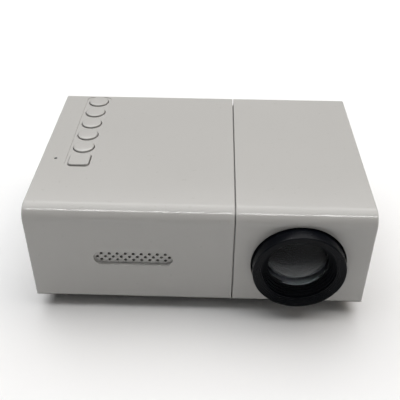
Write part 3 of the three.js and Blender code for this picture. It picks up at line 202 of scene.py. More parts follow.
def block(low, high, edge=0.0):
    """A box between two corners, its edges rounded if asked."""
    shape = bmesh.new()
    bmesh.ops.create_cube(shape, size=1)
    bmesh.ops.scale(shape, vec=high - low, verts=shape.verts)
    bmesh.ops.translate(shape, vec=(low + high) / 2, verts=shape.verts)
    if edge:
        bmesh.ops.bevel(shape, geom=list(shape.edges), offset=edge, affect="EDGES", segments=2, profile=0.5,
                        material=-1)
    return shape


def upright_rod(radius, low_z, high_z, x, y):
    """A round rod between two heights."""
    shape = bmesh.new()
    bmesh.ops.create_cone(shape, cap_ends=True, segments=32, radius1=radius, radius2=radius,
                          depth=high_z - low_z)
    bmesh.ops.translate(shape, vec=(x, y, (low_z + high_z) / 2), verts=shape.verts)
    return object_of("rod", shape)


def rounded_block(low, high, front_radius, rear_radius, left_edge=0.0, right_edge=0.0):
    """A box with rounded upper front and rear edges, then softened round its two ends and underneath."""
    shape = block(low, high)
    for y, radius, segments in ((low[1], front_radius, 16), (high[1], rear_radius, 6)):
        corner = [e for e in shape.edges
                  if all(abs(v.co.y - y) < 1e-6 and abs(v.co.z - high[2]) < 1e-6 for v in e.verts)]
        bmesh.ops.bevel(shape, geom=corner, offset=radius, affect="EDGES", segments=segments, profile=0.5,
                        material=-1)
    for x, radius in ((low[0], left_edge), (high[0], right_edge)):
        end = [e for e in shape.edges if all(abs(v.co.x - x) < 1e-6 for v in e.verts)]
        if radius:
            bmesh.ops.bevel(shape, geom=end, offset=radius, affect="EDGES", segments=4, profile=0.5,
                            material=-1)
    return object_of("block", shape)


def wrap(low, high, inset, thickness, left_edge=0.0, right_edge=0.0):
    """The case's section, from front wall over the top to rear wall, as a band of one thickness."""
    start = Vector((low.x, low.y + inset, low.z))
    end = Vector((high.x, high.y - inset, high.z - inset))
    inner_start = start + Vector((-thickness, thickness, -thickness))
    inner_end = end + Vector((thickness, -thickness, -thickness))
    radii = [max(radius - inset, INNER_CORNER) for radius in (FRONT_EDGE_RADIUS, REAR_EDGE_RADIUS)]
    inner_radii = [max(radius - thickness, INNER_CORNER) for radius in radii]
    band = rounded_block(start, end, *radii, left_edge, right_edge)
    return combined(band, [rounded_block(inner_start, inner_end, *inner_radii)], "DIFFERENCE")


def screw_posts(cover_low, cover_high):
    """Posts over the case screws that stand between the cover's ends."""
    posts = []
    for number in range(1, 5):
        screw_low, screw_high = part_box(f"case_screw_{number}")
        at = (screw_low + screw_high) / 2
        if cover_low.x < at.x < cover_high.x:
            posts.append(upright_rod(POST_RADIUS, POST_FOOT, cover_high.z - COVER_WALL / 2, at.x, at.y))
    return posts


def smoothed(piece, angle=32):
    """Smooth shading that keeps true edges sharp and large flats flat."""
    piece.data.shade_smooth()
    piece.data.set_sharp_from_angle(angle=math.radians(angle))
    weighing = piece.modifiers.new("Flat faces", "WEIGHTED_NORMAL")
    weighing.keep_sharp = True
    weighing.weight = 100
    return piece


def key_hole(node):
    """The cutter for a key's hole in the floor of the key strip."""
    at = middle(node).xy.to_3d() + UP * strip_floor
    size = SQUARE_KEY_SIZE if node == SQUARE_KEY else 2 * KEY_RADIUS
    corner = SQUARE_KEY_CORNER if node == SQUARE_KEY else KEY_RADIUS
    width = size + 2 * JOINT_GAP
    return hole_tool(width, width, corner + JOINT_GAP, THROUGH, UP, at, segments=12)


def grille_tools(front_y):
    """The stadium recess, then the three staggered rows of round holes through its floor."""
    low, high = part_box("grille_cloth")
    centre = (low + high) / 2
    width = high.x - low.x - 2 * GRILLE["margin"]
    height = high.z - low.z - 2 * GRILLE["margin"]
    recess = hole_tool(width, height, height / 2, GRILLE["recess"], FRONT,
                       Vector((centre.x, front_y, centre.z)), flare=GRILLE["recess_flare"], segments=14)
    floor_y = front_y + GRILLE["recess"]
    bore = 2 * GRILLE["hole"]
    rows = []
    for row, count in enumerate(GRILLE["rows"]):
        holes = []
        for i in range(count):
            x = centre.x + (i - (count - 1) / 2) * GRILLE["pitch"]
            z = centre.z - (row - (len(GRILLE["rows"]) - 1) / 2) * GRILLE["row_pitch"]
            mouth = Vector((x, floor_y, z))
            holes.append(hole_tool(bore, bore, bore / 2, GRILLE["hole_depth"], FRONT, mouth,
                                   flare=GRILLE["hole_flare"], segments=5, clearance=0.5 * MM))
        rows.append(one_of(holes))
    return recess, rows


def socket_opening(node):
    """The cutter for a socket's opening in the rear wall."""
    low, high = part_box(node)
    at = (low + high) / 2
    at.y = case_high.y
    width, height = high.x - low.x + 2 * SOCKET["gap"], high.z - low.z + 2 * SOCKET["gap"]
    return hole_tool(width, height, SOCKET["corner"], THROUGH, REAR, at)


case_low, case_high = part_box("control_cover")
lens_cover_low, lens_cover_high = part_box("lens_cover")
seam_edge_x = lens_cover_low.x - SEAM_GAP

control_high = Vector((seam_edge_x, case_high.y, case_high.z))
control_cover = wrap(case_low, control_high, 0, COVER_WALL, left_edge=END_EDGE, right_edge=SEAM_EDGE)
control_cover.name = "control_cover_shell"
tongue_low = Vector((seam_edge_x - TONGUE["root"], case_low.y, LIP_TOP + JOINT_GAP))
tongue_high = Vector((seam_edge_x + TONGUE["reach"], case_high.y, case_high.z))
tongue = wrap(tongue_low, tongue_high, COVER_WALL + JOINT_GAP, TONGUE["thickness"])
tongue_root_high = Vector((seam_edge_x - 2 * SEAM_EDGE, case_high.y, case_high.z))
tongue_root = wrap(tongue_low, tongue_root_high, COVER_WALL / 2, COVER_WALL)
combined(control_cover, [tongue_root, tongue, *screw_posts(case_low, control_high)], "UNION")

strip_front = middle(SQUARE_KEY).y - KEY_STRIP["front"]
strip_rear = case_high.y - KEY_STRIP["rear"]
strip_at = Vector((middle(SQUARE_KEY).x, (strip_front + strip_rear) / 2, case_high.z))
key_strip = hole_tool(KEY_STRIP["width"], strip_rear - strip_front, KEY_STRIP["corner"], KEY_STRIP["depth"],
                      UP, strip_at, flare=KEY_STRIP["flare"], segments=12)
strip_floor = case_high.z - KEY_STRIP["depth"]
indicator_at = middle("indicator_lens").xy.to_3d() + UP * case_high.z
indicator_hole = hole_tool(2 * INDICATOR["hole"], 2 * INDICATOR["hole"], INDICATOR["hole"], THROUGH, UP,
                           indicator_at, flare=INDICATOR["flare"])
grille_recess, grille_rows = grille_tools(case_low.y)
combined(control_cover, [key_strip, grille_recess, *grille_rows], "DIFFERENCE")
combined(control_cover, [
    *[key_hole(node) for node in [*ROUND_KEYS, SQUARE_KEY]],
    indicator_hole,
    *[socket_opening(node) for node in ("hdmi_socket", "usb_socket", "card_slot")],
], "DIFFERENCE")
smoothed(control_cover)


class Signal:
    """A shader socket that takes part in ordinary arithmetic."""

    def __init__(self, finish, socket):
        self.finish = finish
        self.socket = socket

    def __add__(self, other):
        return self.finish.maths("ADD", self, other)

    def __sub__(self, other):
        return self.finish.maths("SUBTRACT", self, other)

    def __rsub__(self, other):
        return self.finish.maths("SUBTRACT", other, self)

    def __mul__(self, other):
        return self.finish.maths("MULTIPLY", self, other)

    __radd__ = __add__
    __rmul__ = __mul__


class Finish:
    """A material under construction."""

    def __init__(self, name):
        self.material = bpy.data.materials.new(name)
        self.material.use_nodes = True
        self.tree = self.material.node_tree
        self.tree.nodes.clear()
        self.place = self.node("ShaderNodeTexCoord", {}, {}, "Object")

    def node(self, kind, settings, sockets, output=0):
        """Adds a node, gives it its settings, then the values or links of its sockets."""
        made = self.tree.nodes.new(kind)
        for key, value in settings.items():
            setattr(made, key, value)
        for key, value in sockets.items():
            if isinstance(value, Signal):
                self.tree.links.new(value.socket, made.inputs[key])
            else:
                made.inputs[key].default_value = value
        return Signal(self, made.outputs[output]) if made.outputs else None

    def maths(self, operation, *values):
        return self.node("ShaderNodeMath", {"operation": operation}, dict(enumerate(values)))

    def vector_maths(self, operation, *values, output=0):
        return self.node("ShaderNodeVectorMath", {"operation": operation}, dict(enumerate(values)), output)

    def noise(self, scale, detail=2.0, roughness=0.5, stretch=(1, 1, 1)):
        """Noise whose features are about 1/scale metres across, from 0 to 1."""
        place = self.node("ShaderNodeMapping", {}, {"Vector": self.place, "Scale": stretch})
        return self.node("ShaderNodeTexNoise", {},
                         {"Vector": place, "Scale": scale, "Detail": detail, "Roughness": roughness})

    def rise(self, signal, start, end, easing="LINEAR"):
        """0 where the signal is at the start, 1 where it is at the end, and even between them."""
        return self.node("ShaderNodeMapRange", {"interpolation_type": easing},
                         {"Value": signal, "From Min": start, "From Max": end})

    def blend(self, factor, one, other):
        """Goes from one colour to the other as the factor goes from 0 to 1."""
        return self.node("ShaderNodeMix", {"data_type": "RGBA"}, {"Factor": factor, 6: one, 7: other}, 2)

    def bump(self, height, distance, strength=1.0):
        return self.node("ShaderNodeBump", {},
                         {"Height": height, "Distance": distance, "Strength": strength})

    def surface(self, **sockets):
        """Closes the material with a principled shader, its sockets named with underscores."""
        named = {key.replace("_", " "): value for key, value in sockets.items()}
        shader = self.node("ShaderNodeBsdfPrincipled", {}, named)
        self.node("ShaderNodeOutputMaterial", {}, {"Surface": shader})
        return self.material


def moulded_white(name, tint=(0.462, 0.454, 0.438)):
    """Warm white ABS with a spark-eroded grain, faint flow shading and a few specks of dust."""
    finish = Finish(name)
    grain = finish.noise(3800, detail=3)
    flow = finish.noise(26, detail=2)
    rubbed = finish.noise(90, detail=4, roughness=0.6)
    specks = finish.rise(finish.noise(620, detail=0), 0.79, 0.815)
    shade = finish.blend(flow, (*(c * 0.975 for c in tint), 1), (*(c * 1.02 for c in tint), 1))
    colour = finish.blend(specks * 0.14, shade, (0.30, 0.28, 0.25, 1))
    height = grain * 0.8 + specks * 0.2
    return finish.surface(
        Base_Color=colour,
        Roughness=0.09 + rubbed * 0.05,
        Specular_IOR_Level=0.42,
        Normal=finish.bump(height, 0.00003, 0.5),
    )


case_plastic = moulded_white("case_plastic")
control_cover.data.materials.clear()
control_cover.data.materials.append(case_plastic)
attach(control_cover, "projector_case")
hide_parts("control_cover")


# ---- Lens cover ---------------------------------------------------------------------------------
# The right half of the case, moulded like the other one, with a round hole in its front wall that
# the lens ring passes through. Two screws hold its rear; its front hooks over the tongue.

LENS_HOLE_CLEARANCE = 0.5 * MM
LENS_HOLE_FLARE = 0.25 * MM


def turned_shape(section, axis_point, axis, segments=96):
    """A solid of revolution: a closed section of (radius, distance along the axis) spun about it."""
    shape = bmesh.new()
    points = [shape.verts.new((radius, 0, along)) for radius, along in section]
    for i, point in enumerate(points):
        following = points[(i + 1) % len(points)]
        if max(point.co.x, following.co.x) > 0:
            shape.edges.new((point, following))
    bmesh.ops.spin(shape, geom=[*shape.verts, *shape.edges], cent=(0, 0, 0), axis=(0, 0, 1),
                   angle=2 * math.pi, steps=segments, use_merge=True)
    bmesh.ops.remove_doubles(shape, verts=shape.verts, dist=1e-7)
    bmesh.ops.recalc_face_normals(shape, faces=shape.faces)
    bmesh.ops.transform(shape, matrix=facing(axis, axis_point), verts=shape.verts)
    return shape


barrel_low, barrel_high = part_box("lens_barrel")
barrel_middle = (barrel_low + barrel_high) / 2
barrel_radius = (barrel_high.x - barrel_low.x) / 2
lens_axis = Vector((barrel_middle.x, 0, barrel_middle.z))

lens_cover = wrap(lens_cover_low, lens_cover_high, 0, COVER_WALL, left_edge=SEAM_EDGE, right_edge=END_EDGE)
lens_cover.name = "lens_cover_shell"
combined(lens_cover, screw_posts(lens_cover_low, lens_cover_high), "UNION")
hole_radius = barrel_radius + LENS_HOLE_CLEARANCE
lens_hole = hole_tool(2 * hole_radius, 2 * hole_radius, hole_radius, THROUGH, FRONT,
                      Vector((lens_axis.x, lens_cover_low.y, lens_axis.z)), flare=LENS_HOLE_FLARE,
                      segments=32)
combined(lens_cover, [lens_hole], "DIFFERENCE")
smoothed(lens_cover)
lens_cover.data.materials.clear()
lens_cover.data.materials.append(case_plastic)
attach(lens_cover, "projector_case")
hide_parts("lens_cover")


# ---- Keys ---------------------------------------------------------------------------------------
# Five round keys and a square one, moulded in the case's white. Each has a slightly domed cap with
# a soft edge, a stem over its push switch, and two tabs under the cover that keep it in.

KEY = {"cap": 2.3 * MM, "edge": 0.35 * MM, "dome": 0.12 * MM, "stem": 3.0 * MM, "tab": 4 * MM}
TAB_LIFT = 0.02 * MM
TAB_EDGE = 0.15 * MM


def key_tabs(node):
    """The two tabs, one bar that crosses the foot of the stem just above its end."""
    low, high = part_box(node)
    at = (low + high) / 2
    tab_low = Vector((low.x, at.y - KEY["tab"] / 2, low.z + TAB_LIFT))
    tab_high = Vector((high.x, at.y + KEY["tab"] / 2, case_high.z - COVER_WALL - JOINT_GAP))
    return object_of("tabs", block(tab_low, tab_high, edge=TAB_EDGE))


def round_cap(node):
    """The cap and its stem, turned as one."""
    at = middle(node)
    low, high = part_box(node)
    length = high.z - low.z
    crown = [(KEY_RADIUS * k / 6, -KEY["dome"] * (k / 6) ** 2) for k in range(6)]
    rounding = []
    for k in range(6):
        turn = math.radians(18 * k)
        rounding.append((KEY_RADIUS - KEY["edge"] + KEY["edge"] * math.sin(turn),
                         -KEY["dome"] - KEY["edge"] * (1 - math.cos(turn))))
    section = [*crown[:-1], *rounding, (KEY_RADIUS, -KEY["cap"]), (KEY["stem"], -KEY["cap"]),
               (KEY["stem"], -length), (0, -length)]
    return object_of(node + "_cap", turned_shape(section, Vector((at.x, at.y, high.z)), UP, segments=48))


def square_cap(node):
    """The rounded square cap with its round stem."""
    at = middle(node)
    low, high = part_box(node)
    shape = bmesh.new()
    face = outline_face(shape, SQUARE_KEY_SIZE, SQUARE_KEY_SIZE, SQUARE_KEY_CORNER, 10)
    grown = bmesh.ops.extrude_face_region(shape, geom=face)
    lowered = [v for v in grown["geom"] if isinstance(v, bmesh.types.BMVert)]
    bmesh.ops.translate(shape, vec=(0, 0, -KEY["cap"]), verts=lowered)
    bmesh.ops.recalc_face_normals(shape, faces=shape.faces)
    rim = [e for e in shape.edges if all(abs(v.co.z) < 1e-9 for v in e.verts)]
    bmesh.ops.bevel(shape, geom=rim, offset=KEY["edge"], affect="EDGES", segments=5, profile=0.5,
                    material=-1)
    bmesh.ops.translate(shape, vec=(at.x, at.y, high.z), verts=shape.verts)
    stem = upright_rod(KEY["stem"], low.z, high.z - KEY["cap"] / 2, at.x, at.y)
    return combined(object_of(node + "_cap", shape), [stem], "UNION")


key_plastic = moulded_white("key_plastic", tint=(0.470, 0.462, 0.446))
for node in [*ROUND_KEYS, SQUARE_KEY]:
    cap = square_cap(node) if node == SQUARE_KEY else round_cap(node)
    combined(cap, [key_tabs(node)], "UNION")
    smoothed(cap, angle=40)
    cap.data.materials.clear()
    cap.data.materials.append(key_plastic)
    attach(cap, node)
    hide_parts(node)


# ---- Lens ring ----------------------------------------------------------------------------------
# The barrel that holds the three lens elements, turned by its ring to focus. Black plastic,
# polished outside; the front is a funnel of fine concentric ridges above matt baffle steps, and
# three helical grooves behind take the fixed guide pins.

RING = {
    "lip": 0.35 * MM,
    "edge": 0.4 * MM,
    "funnel": 3.0 * MM,
    "funnel_depth": 1.3 * MM,
    "ridges": 5,
    "length": 28 * MM,
}
BAFFLE = {"steps": 4, "lip_radius": 11.25 * MM, "lip_depth": 5.1 * MM}
SEATS = ((12.6 * MM, 5.8 * MM), (13.5 * MM, 13.1 * MM), (14.4 * MM, 20.4 * MM))  # radius and depth
# the last pair of depths is where the bore's grey darkens to black: painted shade deeper in the barrel
BORE_GREY = {"radius": (13.2 * MM, 13.9 * MM), "start": (5.6 * MM, 6.4 * MM), "painted_shade_depth": (6 * MM, 14 * MM)}
FRICTION_GROOVE = {"depth": 1.4 * MM, "front": 23.7 * MM, "rear": 26.3 * MM}
FOCUS = {"lead": 24 * MM, "turn_in": 45, "turn_out": 75, "margin": 7, "pins": 3, "pin_depth": 14 * MM,
         "groove": 1.9 * MM}


def ridged_funnel():
    """Section of the funnel: each ridge a short flat, then a small rounded drop."""
    mouth = barrel_radius - RING["lip"]
    width = RING["funnel"] / RING["ridges"]
    drop = RING["funnel_depth"] / RING["ridges"]
    points = []
    for k in range(RING["ridges"]):
        outer = mouth - k * width
        depth = k * drop
        points += [
            (outer, depth),
            (outer - 0.10 * width, depth + 0.75 * drop),
            (outer - 0.30 * width, depth + 1.05 * drop),
            (outer - 0.75 * width, depth + 0.95 * drop),
        ]
    return [*points, (mouth - RING["funnel"], RING["funnel_depth"])]


def baffle_steps():
    """Section of the matt steps, each going in and then deeper."""
    throat = barrel_radius - RING["lip"] - RING["funnel"]
    inward = (throat - BAFFLE["lip_radius"]) / BAFFLE["steps"]
    deeper = (BAFFLE["lip_depth"] - RING["funnel_depth"]) / BAFFLE["steps"]
    points = []
    for k in range(BAFFLE["steps"]):
        depth = RING["funnel_depth"] + (k + 1) * deeper
        points += [(throat - k * inward, depth), (throat - (k + 1) * inward, depth)]
    return points


def seat_steps():
    """Section of the shoulders that the three elements rest on."""
    points, radius = [], BAFFLE["lip_radius"]
    for seat, depth in SEATS:
        points += [(radius, depth), (seat, depth)]
        radius = seat
    return [*points, (radius, RING["length"])]


def ring_outside():
    """Section of the outside, from the rear end past the friction ring's groove to the rounded front."""
    edge = RING["edge"]
    turns = [math.radians(a) for a in range(0, 91, 15)]
    rounding = [(barrel_radius - edge + edge * math.cos(turn), edge - edge * math.sin(turn))
                for turn in turns]
    floor = barrel_radius - FRICTION_GROOVE["depth"]
    return [
        (barrel_radius, RING["length"]),
        (barrel_radius, FRICTION_GROOVE["rear"]),
        (floor, FRICTION_GROOVE["rear"]),
        (floor, FRICTION_GROOVE["front"]),
        (barrel_radius, FRICTION_GROOVE["front"]),
        *rounding,
    ]


def helical_tool(number, mouth):
    """A round cutter swept along the path of one guide pin as the turning barrel meets it."""
    start = 360 / FOCUS["pins"] * number
    first = start + FOCUS["turn_in"] + FOCUS["margin"]
    sweep = FOCUS["turn_in"] + FOCUS["turn_out"] + 2 * FOCUS["margin"]
    steps = 40
    shape = bmesh.new()
    circle = bmesh.ops.create_circle(shape, segments=16, radius=FOCUS["groove"])["verts"]
    to_axis = Matrix.Rotation(math.pi / 2, 3, "Y")
    bmesh.ops.rotate(shape, cent=(0, 0, 0), matrix=to_axis, verts=circle)
    depth = FOCUS["pin_depth"] - FOCUS["lead"] * (FOCUS["turn_in"] + FOCUS["margin"]) / 360
    bmesh.ops.translate(shape, vec=(0, depth, barrel_radius + 0.1 * FOCUS["groove"]), verts=circle)
    to_start = Matrix.Rotation(math.radians(-first), 3, "Y")
    bmesh.ops.rotate(shape, cent=(0, 0, 0), matrix=to_start, verts=circle)
    bmesh.ops.spin(shape, geom=shape.edges[:], cent=(0, 0, 0), axis=(0, 1, 0), angle=math.radians(sweep),
                   steps=steps, dvec=(0, FOCUS["lead"] * sweep / 360 / steps, 0), use_merge=False)
    bmesh.ops.holes_fill(shape, edges=[e for e in shape.edges if e.is_boundary], sides=0)
    bmesh.ops.recalc_face_normals(shape, faces=shape.faces)
    bmesh.ops.translate(shape, vec=mouth, verts=shape.verts)
    return object_of("groove", shape)


ring_front = Vector((lens_axis.x, barrel_low.y, lens_axis.z))
section = [*ridged_funnel(), *baffle_steps(), *seat_steps(), *ring_outside()]
barrel = object_of("focus_barrel_shell", turned_shape(section, ring_front, REAR, segments=160))
combined(barrel, [helical_tool(k, ring_front) for k in range(FOCUS["pins"])], "DIFFERENCE")
smoothed(barrel, angle=28)


def ring_finish(name, axis):
    """Black plastic, polished outside and matt grey behind the front glass, the grey darkening to black
    deeper in the bore as painted shade, with hairlines and dust.
    """
    finish = Finish(name)
    hairlines = finish.noise(700, detail=2, stretch=(1, 0.08, 1))
    smears = finish.noise(120, detail=3)
    dust = finish.rise(finish.noise(1500, detail=1), 0.74, 0.80)
    from_mouth = finish.vector_maths("SUBTRACT", finish.place, axis)
    across = finish.vector_maths("MULTIPLY", from_mouth, (1, 0, 1))
    radius = finish.vector_maths("LENGTH", across, output="Value")
    depth = finish.node("ShaderNodeSeparateXYZ", {}, {0: from_mouth}, "Y")
    bore = 1 - finish.rise(radius, *BORE_GREY["radius"], "SMOOTHSTEP")
    past_glass = finish.rise(depth, *BORE_GREY["start"])
    # painted shade: the bore's grey fades to black deeper in the barrel
    painted_depth_shade = 1 - finish.rise(depth, *BORE_GREY["painted_shade_depth"])
    outside = finish.blend(dust * 0.10, (0.0025, 0.0032, 0.0050, 1), (0.16, 0.16, 0.155, 1))
    colour = finish.blend(bore * past_glass * painted_depth_shade, outside, (0.42, 0.42, 0.42, 1))
    return finish.surface(
        Base_Color=colour,
        Roughness=0.20 + smears * 0.12 + dust * 0.2 + bore * 0.45,
        Specular_IOR_Level=0.09,
        Normal=finish.bump(hairlines + dust * 0.5, 0.000008, 0.35),
    )


ring_black = ring_finish("ring_black", tuple(ring_front))
barrel.data.materials.clear()
barrel.data.materials.append(ring_black)
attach(barrel, "focus_barrel")
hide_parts("lens_barrel")


# ---- Lens elements ------------------------------------------------------------------------------
# Three ground glass elements with thin coats, the front one bulging towards the viewer, each with a flat rim
# that rests on its shoulder in the barrel. The front one's coat is made stronger towards its lower edge, a
# painted reflection.

ELEMENT_RIM = 3 * MM
ELEMENT_BEVEL = 0.15 * MM
RIM_WIDTH = 1.3 * MM
FACE_SAG = {
    "front_lens": (1.8 * MM, 0.9 * MM),
    "middle_lens": (-0.6 * MM, -0.6 * MM),
    "rear_lens": (0.9 * MM, 0.9 * MM),
}
PAINTED_REFLECTION_SPAN = (2 * MM, -9 * MM)  # heights from the axis at which the coat weight that paints a stronger reflection on the lower glass starts and is full


def curved_face(radius, sag):
    """Points of a spherical face from the axis to its edge; a positive sag bulges forward."""
    steps = 20
    ball = (radius ** 2 + sag ** 2) / (2 * abs(sag))
    points = []
    for k in range(steps + 1):
        out = radius * k / steps
        bulge = math.sqrt(ball ** 2 - out ** 2) - (ball - abs(sag))
        points.append((out, -math.copysign(bulge, sag)))
    return points


def lens_glass(name, tint, bending, gloss, painted_reflection=False):
    """Polished glass with a trace of dust; when asked, a coat whose weight rises towards the lower edge
    paints a stronger reflection there.
    """
    finish = Finish(name)
    dust = finish.rise(finish.noise(1100, detail=1), 0.72, 0.80)
    haze = finish.noise(140, detail=3)
    painted_reflection_coat = {}
    if painted_reflection:
        # painted reflection: the coat weight rises towards the lower edge so the glass reflects more there
        height = finish.node("ShaderNodeSeparateXYZ", {}, {0: finish.place}, "Z")
        top, bottom = (lens_axis.z + offset for offset in PAINTED_REFLECTION_SPAN)
        painted_reflection_coat = {"Coat_Weight": finish.rise(height, top, bottom, "SMOOTHSTEP"), "Coat_Roughness": 0.05}
    return finish.surface(
        Base_Color=finish.blend(dust * 0.2, (*tint, 1), (0.6, 0.6, 0.6, 1)),
        Roughness=0.01 + haze * 0.02 + dust * 0.2,
        IOR=bending,
        Specular_IOR_Level=gloss,
        Transmission_Weight=1.0,
        **painted_reflection_coat,
    )


front_glass = lens_glass("front_glass", (0.80, 0.85, 0.90), bending=1.15, gloss=0.3, painted_reflection=True)
inner_glass = lens_glass("inner_glass", (0.05, 0.055, 0.07), bending=1.06, gloss=0.2)
for node, (front_sag, rear_sag) in FACE_SAG.items():
    low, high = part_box(node)
    radius = (high.x - low.x) / 2
    clear = radius - RIM_WIDTH
    rim_y = low.y + max(front_sag, 0)
    front = curved_face(clear, front_sag)
    rear = [(out, ELEMENT_RIM - along) for out, along in curved_face(clear, rear_sag)]
    bevel = [(radius - ELEMENT_BEVEL, 0), (radius, ELEMENT_BEVEL), (radius, ELEMENT_RIM - ELEMENT_BEVEL),
             (radius - ELEMENT_BEVEL, ELEMENT_RIM)]
    section = [*front, *bevel, *reversed(rear)]
    shape = turned_shape(section, Vector((lens_axis.x, rim_y, lens_axis.z)), REAR)
    element = smoothed(object_of(node + "_glass", shape), angle=25)
    element.data.materials.append(front_glass if node == "front_lens" else inner_glass)
    element.visible_shadow = False
    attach(element, "focus_barrel")
    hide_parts(node)


# ---- End panels ---------------------------------------------------------------------------------
# Flat moulded plates that close the two ends of the case, set a little behind the covers' edges.
# The right one has eight long intake slots. The left one has the fan's round vent, three socket
# holes and the window of the infrared receiver.

SLOT = {"width": 1.8 * MM, "pitch": 3.4 * MM, "flare": 0.15 * MM}
INTAKE = {"rows": 8, "length": 48 * MM}
FAN_VENT = {"radius": 13.9 * MM, "columns": 4}  # columns each side of the middle one
JACK_FLARE = 0.2 * MM
JACK_BODY_WALL = 0.15 * MM  # jack body beyond its opening in the panel
IR_BODY_WALL = 0.5 * MM
PANEL_EDGE = 0.25 * MM
PANEL_REAR_RADIUS = 0.6 * MM
LEFT, RIGHT = Vector((-1, 0, 0)), Vector((1, 0, 0))


def panel_plate(node):
    """The plate of an end panel, with its upper corners following the case's section."""
    low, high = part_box(node)
    shape = block(low, high)
    front_radius = FRONT_EDGE_RADIUS - COVER_WALL
    for y, radius, segments in ((low.y, front_radius, 14), (high.y, PANEL_REAR_RADIUS, 4)):
        corner = [e for e in shape.edges
                  if all(abs(v.co.y - y) < 1e-6 and abs(v.co.z - high.z) < 1e-6 for v in e.verts)]
        bmesh.ops.bevel(shape, geom=corner, offset=radius, affect="EDGES", segments=segments, profile=0.5,
                        material=-1)
    sharp = [e for e in shape.edges if e.calc_face_angle() > math.radians(60)]
    bmesh.ops.bevel(shape, geom=sharp, offset=PANEL_EDGE, affect="EDGES", segments=3, profile=0.5,
                    material=-1)
    return object_of(node + "_plate", shape)


def finished_panel(node, tools):
    """An end panel with its openings cut and its finish on."""
    plate = combined(panel_plate(node), tools, "DIFFERENCE")
    smoothed(plate)
    plate.data.materials.clear()
    plate.data.materials.append(case_plastic)
    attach(plate, "projector_case")
    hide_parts(node)


def slot_tool(length, direction, mouth, across):
    """The cutter for one ventilation slot."""
    return hole_tool(length, SLOT["width"], SLOT["width"] / 2, THROUGH, direction, mouth,
                     flare=SLOT["flare"], across=across)


right_face_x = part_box("right_end_panel")[1].x
intake_slots = []
for row in range(INTAKE["rows"]):
    z = lens_axis.z + (row - (INTAKE["rows"] - 1) / 2) * SLOT["pitch"]
    mouth = Vector((right_face_x, (case_low.y + case_high.y) / 2, z))
    intake_slots.append(slot_tool(INTAKE["length"], RIGHT, mouth, REAR))
finished_panel("right_end_panel", intake_slots)

left_face_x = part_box("left_end_panel")[0].x
fan_middle = middle("fan_rotor")
left_openings = []
for column in range(-FAN_VENT["columns"], FAN_VENT["columns"] + 1):
    offset = column * SLOT["pitch"]
    half = math.sqrt(FAN_VENT["radius"] ** 2 - offset ** 2)
    mouth = Vector((left_face_x, fan_middle.y + offset, fan_middle.z))
    left_openings.append(slot_tool(2 * max(half, SLOT["width"]), LEFT, mouth, UP))
for node in ("av_socket", "audio_socket", "dc_inlet", "ir_receiver"):
    low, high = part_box(node)
    radius = (high.z - low.z) / 2 - (IR_BODY_WALL if node == "ir_receiver" else JACK_BODY_WALL)
    mouth = Vector((left_face_x, (low.y + high.y) / 2, (low.z + high.z) / 2))
    left_openings.append(hole_tool(2 * radius, 2 * radius, radius, THROUGH, LEFT, mouth, flare=JACK_FLARE,
                                   segments=12, across=UP))
finished_panel("left_end_panel", left_openings)


# ---- Base plate, feet, screws and tripod insert -------------------------------------------------
# The tray that everything stands on, chamfered all round underneath and moulded like the covers.
# Four rubber feet are glued into recesses, four screws hold the covers, and a brass insert with a
# quarter-inch thread is pressed into its boss.

CARRIED_EDGE = 0.12 * MM
BASE_EDGE = 0.2 * MM


def carried(node, material, edge=CARRIED_EDGE):
    """A piece whose modelled shape is right already: it gets softened edges and its finish."""
    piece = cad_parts[node]
    if edge:
        softened = piece.modifiers.new("Softened edges", "BEVEL")
        softened.width = edge
        softened.segments = 2
        softened.limit_method = "ANGLE"
        softened.angle_limit = math.radians(30)
    piece.data.materials.clear()
    piece.data.materials.append(material)


def matt_rubber(name):
    """Black rubber with a moulding texture and greyish dust in it."""
    finish = Finish(name)
    grain = finish.noise(2600, detail=3)
    worn = finish.noise(240, detail=4, roughness=0.6)
    colour = finish.blend(worn, (0.018, 0.018, 0.019, 1), (0.045, 0.044, 0.042, 1))
    return finish.surface(Base_Color=colour, Roughness=0.78 + grain * 0.15,
                          Normal=finish.bump(grain, 0.00005, 0.6))


def bare_metal(name, dark, light, roughness, stretch=(1, 1, 1)):
    """Plain metal with fine working marks and slightly uneven brightness."""
    finish = Finish(name)
    marks = finish.noise(900, detail=3, stretch=stretch)
    stain = finish.noise(110, detail=3)
    colour = finish.blend(marks * 0.5 + stain * 0.5, (*dark, 1), (*light, 1))
    return finish.surface(Base_Color=colour, Metallic=1.0, Roughness=roughness + marks * 0.18,
                          Normal=finish.bump(marks, 0.00002, 0.4))


rubber = matt_rubber("foot_rubber")
screw_steel = bare_metal("screw_steel", (0.10, 0.10, 0.105), (0.20, 0.20, 0.21), 0.32)
turned_brass = bare_metal("turned_brass", (0.50, 0.36, 0.16), (0.72, 0.55, 0.28), 0.26, stretch=(1, 1, 6))
carried("base_plate", case_plastic, edge=BASE_EDGE)
for number in range(1, 5):
    carried(f"case_screw_{number}", screw_steel)
carried("tripod_insert", turned_brass)

